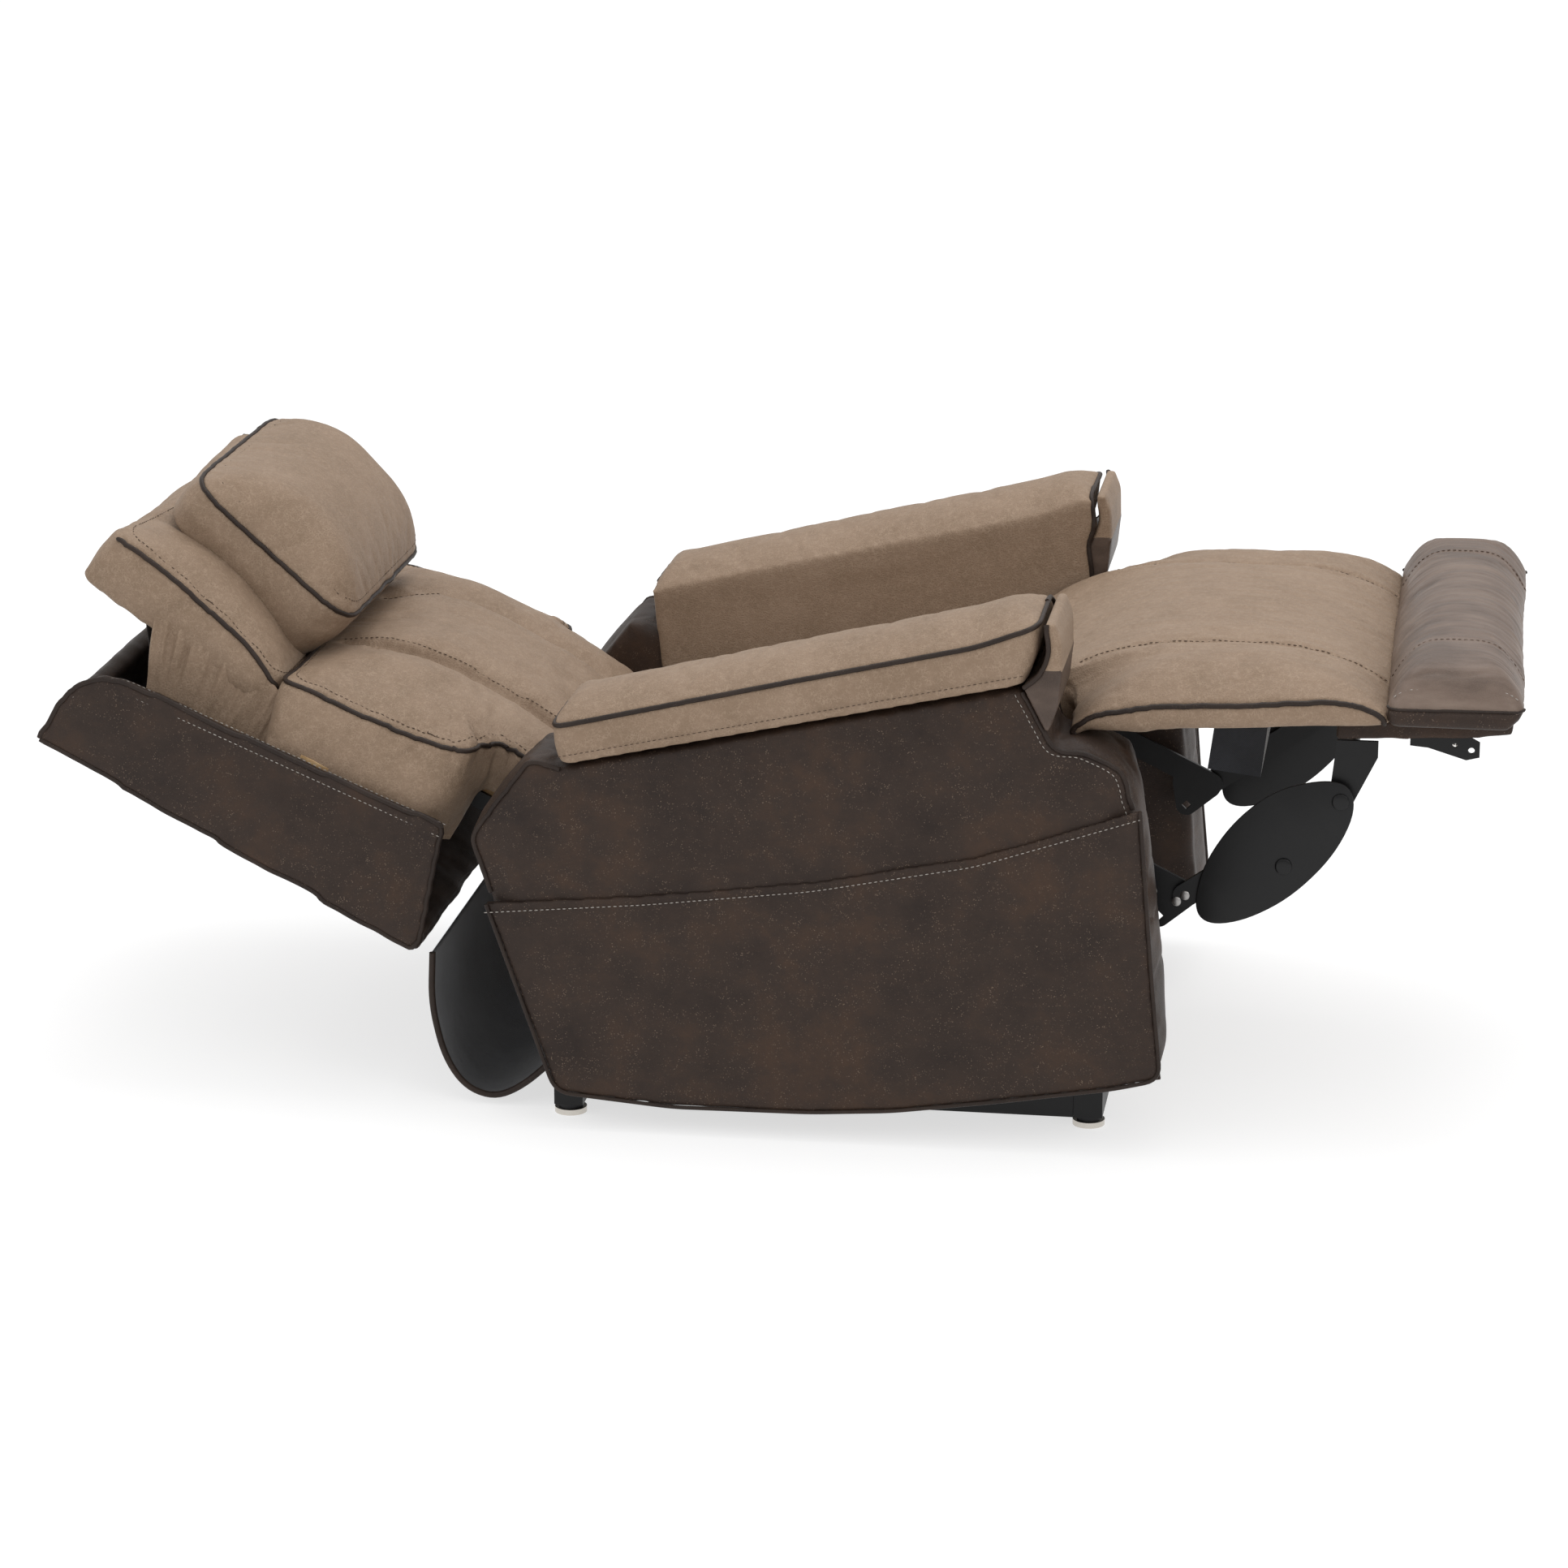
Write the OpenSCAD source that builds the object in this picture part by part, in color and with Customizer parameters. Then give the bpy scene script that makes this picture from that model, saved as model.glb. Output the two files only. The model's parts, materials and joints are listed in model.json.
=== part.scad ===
// Lift recliner chair, drawn fully reclined: footrest out, headrest tipped forward.
// +X points to the feet, +Z up, the floor is z = 0. The right arm is on the -Y side.
// Every moving group is drawn about its own pivot, so that each joint's pivot is a named point.

/* [Seat and arms] */
// width of the seat cushion between the arms
seat_width = 524; // [470:2:600]
// width of one arm body
arm_width = 154; // [130:2:185]
// thickness of the tan panel on the inner side of each arm
inner_panel = 6; // [4:1:10]
// depth of the side pocket's gap
pocket_gap = 7; // [6:0.5:12]
// thickness of the side pocket's sheet
pocket_sheet = 5; // [3:0.5:6]
// how far the arm pad stands above its piping
pad_crown = 16; // [8:1:24]

/* [Back] */
// length of the back from its pivot to the top of the outer shell
back_length = 620; // [520:5:740]
// width of the outer back shell
shell_width = 760; // [640:2:900]
// depth of the outer back shell
shell_depth = 164; // [140:2:190]
// width of the T-shaped upper back cushion
back_width = 660; // [560:2:690]

/* [Headrest] */
// width of the headrest pad
head_width = 638; // [540:2:690]
// length of the headrest pad from its pivot
head_length = 314; // [260:2:340]
// width of the head pillow
pillow_width = 440; // [400:2:570]
// thickness of the head pillow at its crown
pillow_depth = 112; // [80:1:130]

/* [Footrest] */
// length of the footrest from its pivot to the end of the bolster
foot_length = 440; // [400:2:520]
// width of the footrest pad and of the chaise front
foot_width = 730; // [620:2:870]
// length of the ruched end bolster
bolster_length = 165; // [130:1:195]
// thickness of the footrest board
board_thick = 18; // [12:1:20]

/* [Lift base] */
// distance between the centres of the front glides
front_stance = 644; // [560:2:700]
// distance between the centres of the rear glides
rear_stance = 740; // [640:2:800]
// radius of a levelling glide
glide_radius = 20; // [14:0.5:26]
// height of the base bars
bar_height = 34; // [25:1:34]

/* [Steel parts] */
// thickness of the steel plates and links
plate = 6; // [4:0.5:6]
// radius of the pivot pins
pin_radius = 6; // [4:0.5:8]
// radius of the cross tubes
tube_radius = 11; // [8:0.5:13]

/* [Hidden] */
$fn = 48;
fit = 0.3;
pin_play = 0.08;
eps = 0.01;

// side-to-side places, measured from the middle of the chair
seat_half = seat_width / 2;
arm_in = seat_half + 4;
arm_body_in = arm_in + inner_panel + fit;
arm_body_out = arm_body_in + arm_width;
pocket_out = arm_body_out + pocket_gap + pocket_sheet;
cover_out = arm_in - 3;
shield_out = cover_out - 1;
shield_in = shield_out - 4;
shield_link_out = shield_in - fit;
shield_link_in = shield_link_out - plate;
drive_out = shield_link_in - 0.7;
drive_in = drive_out - plate;
side_out = drive_in - 0.7;
side_in = side_out - plate;
rear_link_out = side_in - 0.7;
rear_link_in = rear_link_out - plate;
front_link_out = rear_link_in - 9;
front_link_in = front_link_out - plate;
inner_plate_out = front_link_in - 0.7;
inner_plate_in = inner_plate_out - plate;
back_rail_out = rear_link_in - fit;
back_rail_in = back_rail_out - 26;

// pivots in the side view, x and z
back_pivot = [-277, 330];
foot_pivot = [477, 517];
drive_pivot = [290.5, 388];
knee_pivot = [510.5, 280];
shield_pivot = [697, 409];
base_front_pivot = [347, 74];
base_rear_pivot = [209, 99];
carriage_front_pivot = [97, 129];
carriage_rear_pivot = [-210, 114];
lift_tube_at = [288.4, 86.9];
lift_motor_pivot = [-190, 68];
lift_eye_at = [284.06, 90.84];
drive_tube_at = [335.4, 366];
foot_motor_pivot = [-160, 172];
foot_eye_at = [337.98, 359.36];
back_motor_pivot = [160, 285];
back_eye_at = [-219.82, 267.09];
head_motor_pivot = [-120, -90];
head_eye_at = [-350.85, -78.12];
back_slope = 26;
head_tip = 22;
head_pivot_u = 360;
head_pivot_w = -20;

// colours
tan = [0.62, 0.55, 0.48];
brown = [0.28, 0.24, 0.21];
ruched = [0.5, 0.45, 0.41];
steel = [0.1, 0.1, 0.11];
nickel = [0.7, 0.7, 0.7];
timber = [0.75, 0.62, 0.45];
cloth = [0.16, 0.16, 0.17];

// part to show

// ---------- helpers ----------
// a side-view outline made solid from y1 to y2
module slab(y1, y2) {
  translate([0, y2, 0])
    rotate([90, 0, 0])
      linear_extrude(y2 - y1)
        children();
}

// the same outline on both sides of the chair
module pair(y1, y2) {
  slab(y1, y2) children();
  slab(-y2, -y1) children();
}

// a round bar along Y
module rod(at, r, y1, y2) {
  translate([at[0], y2, at[1]])
    rotate([90, 0, 0])
      cylinder(r = r, h = y2 - y1);
}

module rod_pair(at, r, y1, y2) {
  rod(at, r, y1, y2);
  rod(at, r, -y2, -y1);
}

module dot(at, r) {
  translate(at) circle(r = r);
}

// a flat bar between two points with round ends
module strap(a, b, r) {
  hull() {
    dot(a, r);
    dot(b, r);
  }
}

// places what is drawn along the back panel at its hinge
module back_place() {
  translate([back_pivot[0], 0, back_pivot[1]])
    rotate([0, back_slope, 0])
      children();
}

module head_place() {
  back_place()
    translate([-head_pivot_u, 0, head_pivot_w])
      rotate([0, head_tip, 0])
        children();
}

// places its children at a, with their own X axis pointing to b
module along(a, b, yc) {
  d = b - a;
  translate([a[0], yc, a[1]])
    rotate([0, -atan2(d[1], d[0]), 0])
      children();
}

// a pair of lugs astride a motor's pivot, growing out of the outline drawn by the child
module lugs(at, yc, r) {
  for (y = [yc - lug_out, yc + lug_in])
    difference() {
      slab(y, y + lug_out - lug_in)
        hull() {
          dot(at, r);
          children();
        }
      rod(at, trunnion_radius + pin_play, y - 1, y + lug_out);
    }
}

// ---------- lift base ----------
base_back_x = -258;
base_front_x = 420;
bar_low = 13;
bar_width = 34;
bar_top = bar_low + bar_height;
rail_y = (front_stance / 2) - bar_width / 2;
rear_bar_x = [base_back_x, base_back_x + 36];
front_bar_x = [base_front_x - 36, base_front_x];

module base_rail(y) {
  translate([rear_bar_x[1] + fit, y, bar_low])
    cube([front_bar_x[0] - rear_bar_x[1] - 2 * fit, bar_width, bar_height]);
}

module base_rails() {
  color(steel) {
    base_rail(-rail_y - bar_width);
    base_rail(rail_y);
  }
}

module base_bar(x1, stance, lip) {
  half = stance / 2 + lip;
  difference() {
    translate([x1, -half, bar_low]) cube([36, 2 * half, bar_height]);
    for (s = [-1, 1])
      translate([x1 + 18, s * stance / 2, bar_low - eps]) cylinder(r = stem_radius + pin_play, h = stem_up + eps);
  }
}

module base_bar_front() {
  color(steel) base_bar(front_bar_x[0], front_stance, 16);
}

module base_bar_rear() {
  color(steel) base_bar(rear_bar_x[0], rear_stance, 16);
}

// the brackets that carry the lift links, standing on two floor rails
floor_strip = 12;
plate_foot = bar_low + floor_strip + fit;

module base_brackets() {
  color(steel)
    for (s = [-1, 1]) {
      y1 = s > 0 ? inner_plate_in : -side_out;
      translate([rear_bar_x[1] + fit, y1, bar_low])
        cube([front_bar_x[0] - rear_bar_x[1] - 2 * fit, side_out - inner_plate_in, floor_strip]);
      difference() {
        slab(s > 0 ? side_in : -side_out, s > 0 ? side_out : -side_in)
          polygon([[150, plate_foot], [268, plate_foot], [232, base_rear_pivot[1] + 16], [186, base_rear_pivot[1] + 16]]);
        rod(base_rear_pivot, pin_radius, s > 0 ? side_in - 1 : -side_out - 1, s > 0 ? side_out + 1 : -side_in + 1);
      }
      difference() {
        slab(s > 0 ? inner_plate_in : -inner_plate_out, s > 0 ? inner_plate_out : -inner_plate_in)
          polygon([[300, plate_foot], [382, plate_foot], [364, base_front_pivot[1] + 16], [330, base_front_pivot[1] + 16]]);
        rod(base_front_pivot, pin_radius, s > 0 ? inner_plate_in - 1 : -inner_plate_out - 1,
            s > 0 ? inner_plate_out + 1 : -inner_plate_in + 1);
      }
    }
  color(steel)
    lugs(lift_motor_pivot, 0, 12)
      translate([rear_bar_x[0] + 8, bar_top + fit]) square([26, 6]);
}

module base_pins() {
  color(nickel) {
    rod_pair(base_rear_pivot, pin_radius - pin_play, rear_link_in - 2, side_out);
    rod_pair(base_front_pivot, pin_radius - pin_play, inner_plate_in, front_link_out + 2);
  }
}

stem_radius = 5;
stem_up = 14;
glide_thick = 7;

module foot_cups() {
  color(steel)
    for (s = [-1, 1]) {
      translate([front_bar_x[0] + 18, s * front_stance / 2, glide_thick + fit])
        ring(glide_radius - 5, stem_radius + pin_play, bar_low - glide_thick - 2 * fit);
      translate([rear_bar_x[0] + 18, s * rear_stance / 2, glide_thick + fit])
        ring(glide_radius - 5, stem_radius + pin_play, bar_low - glide_thick - 2 * fit);
    }
}

module ring(r_out, r_in, h) {
  difference() {
    cylinder(r = r_out, h = h);
    translate([0, 0, -eps]) cylinder(r = r_in, h = h + 2 * eps);
  }
}

module foot_glides() {
  color(nickel)
    for (p = [[front_bar_x[0] + 18, front_stance / 2], [rear_bar_x[0] + 18, rear_stance / 2]])
      for (s = [-1, 1])
        translate([p[0], s * p[1], 0]) {
          cylinder(r = glide_radius, h = glide_thick);
          cylinder(r = stem_radius, h = bar_low + stem_up - 1);
        }
}

// ---------- lift links ----------
link_half = 14;

module link_side(a, b, y1, y2) {
  difference() {
    slab(y1, y2) strap(a, b, link_half);
    rod(a, pin_radius, y1 - 1, y2 + 1);
    rod(b, pin_radius, y1 - 1, y2 + 1);
  }
}

module front_lift_link() {
  color(steel) {
    link_side(base_front_pivot, carriage_front_pivot, front_link_in, front_link_out);
    link_side(base_front_pivot, carriage_front_pivot, -front_link_out, -front_link_in);
    rod(lift_tube_at, driven_tube, -front_link_in + fit, front_link_in - fit);
  }
}

// the lugs lift the cross tube clear of the motor below it
module rear_lug() {
  hull() {
    dot(rear_tube_at, tube_radius + 3);
    translate([rear_tube_at[0] - 30, 112]) square([60, 8]);
  }
}

module rear_lift_link() {
  color(steel) {
    link_side(base_rear_pivot, carriage_rear_pivot, rear_link_in, rear_link_out);
    link_side(base_rear_pivot, carriage_rear_pivot, -rear_link_out, -rear_link_in);
    pair(rear_link_in, rear_link_out) rear_lug();
    rod(rear_tube_at, tube_radius, -rear_link_in + fit, rear_link_in - fit);
  }
}

// ---------- carriage ----------
tube_front_at = [118, 205];
tube_rear_at = [-196, 172];
back_tube_at = [168, 322];
rear_tube_at = [-110, 141];
driven_tube = 8;
lane = 110;
lug_in = 14;
lug_out = 24;
trunnion_radius = 5;

module side_plates() {
  color(steel)
    difference() {
      pair(side_in, side_out)
        polygon([[-293, 324], [-291, 338], [-283, 346], [-271, 346], [-262, 338], [-257, 314], [-190, 250], [50, 262], [280, 404], [300, 405],
                 [309, 390], [299, 375], [142, 280], [140, 188], [96, 186], [-60, 170], [-184, 92], [-240, 89],
                 [-246, 150]]);
      rod_pair(drive_pivot, pin_radius, side_in - 1, side_out + 1);
      rod_pair(back_pivot, pin_radius, side_in - 1, side_out + 1);
      rod_pair(carriage_rear_pivot, pin_radius, side_in - 1, side_out + 1);
    }
}

module carriage_tubes() {
  color(steel)
    for (at = [tube_front_at, tube_rear_at, back_tube_at])
      rod(at, tube_radius, -side_in + fit, side_in - fit);
}

// plates on the front tube that carry the front lift links, and the motor lugs on the other tubes
module lift_brackets() {
  color(steel) {
    difference() {
      pair(inner_plate_in, inner_plate_out)
        strap(carriage_front_pivot, tube_front_at, 18);
      rod_pair(carriage_front_pivot, pin_radius, inner_plate_in - 1, inner_plate_out + 1);
      rod(tube_front_at, tube_radius + fit, -inner_plate_out - 1, inner_plate_out + 1);
    }
    difference() {
      lugs(foot_motor_pivot, lane, 12) dot(tube_rear_at, 17);
      rod(tube_rear_at, tube_radius + fit, lane - 40, lane + 40);
    }
    difference() {
      lugs(back_motor_pivot, -lane, 10) dot(back_tube_at, 17);
      rod(back_tube_at, tube_radius + fit, -lane - 40, -lane + 40);
    }
  }
}

module carriage_pins() {
  color(nickel) {
    rod_pair(carriage_front_pivot, pin_radius - pin_play, inner_plate_in, front_link_out + 2);
    rod_pair(back_pivot, pin_radius - pin_play, rear_link_in, side_out);
    rod_pair(drive_pivot, pin_radius - pin_play, side_in, drive_out);
    rod_pair(carriage_rear_pivot, pin_radius - pin_play, side_in, side_out);
  }
}

module arm_brackets() {
  color(steel)
    for (x = [-150, 96])
      pair(side_out + fit, arm_in - fit)
        translate([x, x < 0 ? 205 : 215]) square([36, 36]);
}

module rear_rail() {
  color(timber)
    slab(-arm_body_in + fit, arm_body_in - fit) translate([-251.7, 66]) square([13, 22.4]);
}

module front_rail() {
  color(timber)
    slab(-arm_in + fit, arm_in - fit)
      polygon([[350, 428], [378, 431], [378, chaise_low - fit], [371.5, chaise_low - fit], [366, 470], [350, 468]]);
}

seat_back_x = -183;
chaise_low = 511;
seat_rise = 0.25;

function seat_low(x) = 296 + (x - seat_back_x) * seat_rise;

// sinuous springs: flat steel wires under the cushion
module seat_springs() {
  color(steel)
    for (i = [-3:3])
      slab(i * 66 - 3, i * 66 + 3)
        polygon([[seat_back_x, seat_low(seat_back_x) - 7], [350, seat_low(350) - 7],
                 [350, seat_low(350) - fit], [seat_back_x, seat_low(seat_back_x) - fit]]);
  color(timber)
    slab(-arm_in + fit, arm_in - fit)
      polygon([[318, seat_low(318) - 27], [349.5, seat_low(349.5) - 27], [349.5, seat_low(349.5) - 7.2],
               [318, seat_low(318) - 7.2]]);
}

module seat_cushion() {
  color(tan)
    slab(-seat_half, seat_half)
      polygon([[seat_back_x, seat_low(seat_back_x)], [349, seat_low(349)], [349.5, 468.5], [363, 474], [371, 512],
               [371.7, 552], [340, 545], [150, 492], [-100, 430], [-165, 408], [seat_back_x, 392]]);
}

module chaise_front() {
  color(tan)
    slab(-foot_width / 2, foot_width / 2)
      polygon([[372, chaise_low], [foot_pivot[0] - 8, chaise_low + 3], [foot_pivot[0] - fit, foot_pivot[1] + fit],
               [foot_pivot[0] - fit, 586],
               [422, 570], [388, 557], [372, 540]]);
}

// ---------- arms ----------
module arm_body_shape() {
  polygon([[-356, 369], [-279, 472], [-238, 459], [325, 582], [353, 528], [365, 500], [372, 77], [-246, 55]]);
}

module arm_nose_shape() {
  polygon([[360, 76], [499, 100], [485, 240], [461, 438], [447, 487], [403, 507], [360, 507]]);
}

module arm_body(y1, y2) {
  slab(y1, y2) {
    union() {
      arm_body_shape();
      arm_nose_shape();
    }
  }
}

module arm_body_right() {
  color(brown) arm_body(-arm_body_out, -arm_body_in);
}

module arm_body_left() {
  color(brown) arm_body(arm_body_in, arm_body_out);
}

module arm_inner_panels() {
  color(tan)
    pair(arm_in, arm_in + inner_panel)
      polygon([[-225, 330], [-238, 458], [325, 581], [352, 527], [362, 500], [362, 330], [150, 190], [-200, 190]]);
}

// the pad's crown is a narrower layer on top of the piped body of the pad
module arm_pad(s) {
  y1 = s > 0 ? arm_in : -pocket_out;
  y2 = s > 0 ? pocket_out : -arm_in;
  low = [[-238, 459 + fit], [325, 582 + fit], [342, 600], [352, 625], [347, 664], [265, 632], [71, 588], [-250, 515]];
  top = [[-250, 514.9], [71, 587.9], [265, 631.9], [347, 663.9], [336, 665 + pad_crown * 0.6],
         [262, 635 + pad_crown], [71, 592 + pad_crown], [-236, 519 + pad_crown]];
  color(tan) {
    slab(y1, y2) polygon(low);
    slab(y1 + 14, y2 - 14) polygon(top);
  }
}

module arm_pad_right() {
  arm_pad(-1);
}

module arm_pad_left() {
  arm_pad(1);
}

module arm_front_shape() {
  polygon([[326, 582], [343, 599.5], [353, 625], [348, 664], [362, 664], [371, 640], [371, 600], [366, 560], [358, 531],
           [353.5, 528.5]]);
}

module arm_fronts() {
  color(brown) pair(arm_in + 1, pocket_out - 3) arm_front_shape();
}

module pocket_shape() {
  polygon([[-331, 287], [-130, 306], [72, 332], [270, 372], [468, 439], [485, 240], [499, 100], [438, 86], [171, 43],
           [71, 36], [-100, 34], [-246, 46]]);
}

module pocket_sheet_right() {
  color(brown) slab(-pocket_out, -pocket_out + pocket_sheet) pocket_shape();
}

module pocket_sheet_left() {
  color(brown) slab(pocket_out - pocket_sheet, pocket_out) pocket_shape();
}

// strips that close the pocket along its bottom and both ends
module pocket_welts() {
  color(brown)
    pair(arm_body_out + fit, pocket_out - pocket_sheet - fit) {
      polygon([[-329, 286], [-315, 287], [-232, 62], [-244, 57]]);
      polygon([[-231, 56], [370, 78], [370, 90], [-236, 70]]);
      polygon([[371, 78], [497, 101], [495, 113], [371, 90]]);
      polygon([[495, 114], [466, 436], [454, 432], [482, 240], [483, 112]]);
    }
}

// ---------- rear flap, control box ----------
flap_half = 366;
flap_thick = 4;

module rear_flap() {
  path = [[-428, 184], [-418, 130], [-402, 60], [-378, 26], [-350, 10], [-330, 10], [-302, 30], [-277, 57], [-254, 68]];
  color(cloth)
    slab(-flap_half, flap_half)
      for (i = [0 : len(path) - 2])
        hull() {
          dot(path[i], flap_thick / 2);
          dot(path[i + 1], flap_thick / 2);
        }
}

module control_box() {
  color(steel) {
    translate([-100, -62, 196]) cube([90, 124, 34]);
    translate([-55, 0, 190]) cylinder(r = 6, h = 7);
    for (y = [-50, 44])
      slab(y, y + 6)
        polygon([[-204, 183.4], [-186, 183.4], [-99, 208], [-99, 220], [-204, 192]]);
  }
}

// ---------- footrest ----------
pad_slope = 0.0585;
bolster_x = foot_pivot[0] + foot_length - bolster_length;
foot_end = foot_pivot[0] + foot_length;

function pad_low(x) = foot_pivot[1] - 3 + (x - foot_pivot[0]) * pad_slope;

module footrest_pad() {
  x0 = foot_pivot[0] + fit;
  x1 = bolster_x - fit;
  color(tan)
    slab(-foot_width / 2, foot_width / 2)
      polygon([[x0, foot_pivot[1] + fit], [x0 + 8, pad_low(x0 + 8)], [x1, pad_low(x1)], [x1, pad_low(x1) + 62], [x1 - 20, pad_low(x1) + 76],
               [x0 + 140, pad_low(x0) + 90], [x0 + 32, pad_low(x0) + 79], [x0, pad_low(x0) + 72]]);
}

module footrest_bolster() {
  b = pad_low(bolster_x);
  color(ruched)
    slab(-foot_width / 2 - 4, foot_width / 2 + 4)
      polygon([[bolster_x, b], [foot_end - 16, pad_low(foot_end - 16)], [foot_end - 4, b + 14], [foot_end, b + 33], [foot_end - 15, b + 66],
               [foot_end - 40, b + 78], [bolster_x + 70, b + 80], [bolster_x + 18, b + 74], [bolster_x, b + 55]]);
}

board_start = 520;
board_half = arm_in - 12;

module footrest_board() {
  x1 = foot_end - 16;
  color(timber)
    slab(-board_half, board_half)
      polygon([[board_start, pad_low(board_start) - board_thick], [x1, pad_low(x1) - board_thick],
               [x1, pad_low(x1) - fit], [board_start, pad_low(board_start) - fit]]);
}

end_board_x = 688;
end_board_thick = 24;

module end_board() {
  x1 = foot_end - 14;
  t = board_thick + fit;
  color(brown)
    slab(-board_half - 3, board_half + 3)
      polygon([[end_board_x, pad_low(end_board_x) - t - end_board_thick], [x1, pad_low(x1) - t - end_board_thick + 4],
               [x1, pad_low(x1) - t], [end_board_x, pad_low(end_board_x) - t]]);
}

module footrest_brackets() {
  z1 = pad_low(end_board_x) - board_thick - end_board_thick - 2 * fit;
  color(steel) {
    pair(drive_in, drive_out)
      hull() {
        dot(shield_pivot, 15);
        translate([690, z1 - 20]) square([50, 20]);
      }
    rod([706, 446], driven_tube, -drive_in + fit, drive_in - fit);
    rod_pair(shield_pivot, pin_radius - pin_play, drive_in, shield_link_out - 0.5);
  }
}

// the black wrapped board that fills the gap under the chaise pad
module mid_board() {
  t = board_thick + fit;
  color(cloth)
    slab(-drive_in + 6, drive_in - 6)
      polygon([[533, 438], [598, 430], [606, pad_low(606) - t], [541, pad_low(541) - t]]);
}

module end_brackets() {
  z = pad_low(800) - board_thick - end_board_thick;
  color(steel)
    difference() {
      pair(drive_in, drive_out)
        polygon([[778, z - 0.5], [846, z + 4.5], [862, z - 4], [862, z - 22], [846, z - 26], [800, z - 12], [778, z - 10]]);
      rod_pair([852, z - 14], 4, drive_in - 1, drive_out + 1);
      rod_pair([832, z - 8], 3, drive_in - 1, drive_out + 1);
    }
}

module end_springs() {
  z = pad_low(800) - board_thick - end_board_thick;
  color(nickel)
    for (s = [-1, 1])
      translate([800, s * (drive_in - 5.5), z - 9]) rotate([0, 80, 0]) cylinder(r = 5, h = 44);
}

// ---------- footrest links ----------
module drive_link() {
  color(steel) {
    difference() {
      pair(drive_in, drive_out) {
        strap(drive_pivot, knee_pivot, 15);
        hull() {
          dot([476, 281], 17);
          dot([478, 250], 14);
          dot([508, 276], 15);
        }
      }
      rod_pair(drive_pivot, pin_radius, drive_in - 1, drive_out + 1);
      pair(drive_in - 1, drive_out + 1) translate([478, 250]) rotate(45) square(9, center = true);
    }
    rod(drive_tube_at, driven_tube, -drive_in + fit, drive_in - fit);
    rod_pair(knee_pivot, pin_radius - pin_play, drive_in, shield_link_out - 0.5);
  }
}

module shield_link() {
  color(steel)
    difference() {
      pair(shield_link_in, shield_link_out) strap(knee_pivot, shield_pivot, 15);
      rod_pair(knee_pivot, pin_radius, shield_link_in - 1, shield_link_out + 1);
      rod_pair(shield_pivot, pin_radius, shield_link_in - 1, shield_link_out + 1);
    }
}

module oval_shields() {
  color(steel) {
    pair(shield_in, shield_out)
      hull() {
        dot([537, 264], 19);
        dot([576, 316], 44);
        dot([612, 346], 56);
        dot([655, 382], 46);
        dot([686, 407], 28);
      }
    rod_pair(shield_pivot, 12, shield_in, cover_out + 1.2);
    rod_pair([630, 324], 11, shield_in, cover_out + 1.2);
  }
}

// ---------- back ----------
shell_half = shell_width / 2;
wing_thick = 24;
shell_low_u = 77;
shell_front_u = 121;

module back_shape(points) {
  polygon([for (p = points) [-p[0], p[1]]]);
}

module back_panel() {
  color(brown)
    back_place()
      slab(-shell_half, shell_half)
        back_shape([[shell_low_u, -shell_depth - 24], [back_length, -shell_depth], [back_length - 1, -shell_depth + 16],
                    [shell_low_u + 5, -shell_depth - 8]]);
}

module back_wings() {
  color(brown)
    back_place()
      pair(shell_half - wing_thick, shell_half)
        back_shape([[shell_low_u + 5.2, -shell_depth - 8 + fit], [back_length - 1, -shell_depth + 16 + fit],
                    [back_length - 4, -110], [back_length - 18, -76], [back_length - 38, -52], [back_length - 66, -42],
                    [shell_front_u, -20]]);
}

module back_top_rail() {
  half = shell_half - wing_thick - fit;
  color(brown)
    back_place()
      slab(-half, half)
        back_shape([[back_length - 2, -shell_depth + 16 + fit], [back_length - 5, -110], [back_length - 20, -78],
                    [back_length - 44, -78], [back_length - 44, -shell_depth + 15 + fit]]);
}

frame_top_u = 380;
cross_low_u = 140;
cross_high_u = 280;

module back_frame() {
  half = shell_half - wing_thick - fit;
  color(timber)
    back_place() {
      difference() {
        pair(back_rail_in, back_rail_out)
          back_shape([[30, -30], [frame_top_u, -30], [frame_top_u, -9], [frame_top_u - 8, -1], [30, -1]]);
        rod_pair([-head_pivot_u, head_pivot_w], head_stud + pin_play, back_rail_in - 1, back_rail_in + 18);
      }
      for (u = [cross_low_u, cross_high_u])
        slab(-half, half)
          back_shape([[u, -60], [u + 38, -60], [u + 38, -30 - fit], [u, -30 - fit]]);
    }
}

crank_at = [75, -28];

// hinge plates with their crank tube, and the lugs of the headrest motor
module back_brackets() {
  color(steel)
    back_place() {
      difference() {
        pair(rear_link_in, rear_link_out) {
          strap(crank_at, [0, 0], 15);
          hull() {
            dot([0, 0], 15);
            back_shape([[40, -30], [60, -30], [60, -8], [40, -8]]);
          }
          back_shape([[50, -30], [130, -30], [130, -8], [50, -8]]);
        }
        rod_pair([0, 0], pin_radius, rear_link_in - 1, rear_link_out + 1);
      }
      rod(crank_at, driven_tube, -rear_link_in + fit, rear_link_in - fit);
      lugs(head_motor_pivot, 0, 11)
        back_shape([[142, -66], [176, -66], [176, -60 - fit], [142, -60 - fit]]);
    }
}

cushion_split = 120;
cushion_heel = 18.5;

module back_cushion() {
  color(tan)
    back_place()
      slab(-cushion_split, cushion_split)
        back_shape([[-15, cushion_heel], [36, cushion_heel], [38, 0], [345, 0], [347, 60], [340, 84], [300, 97], [60, 97],
                    [0, 88], [-15, 70]]);
}

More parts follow.
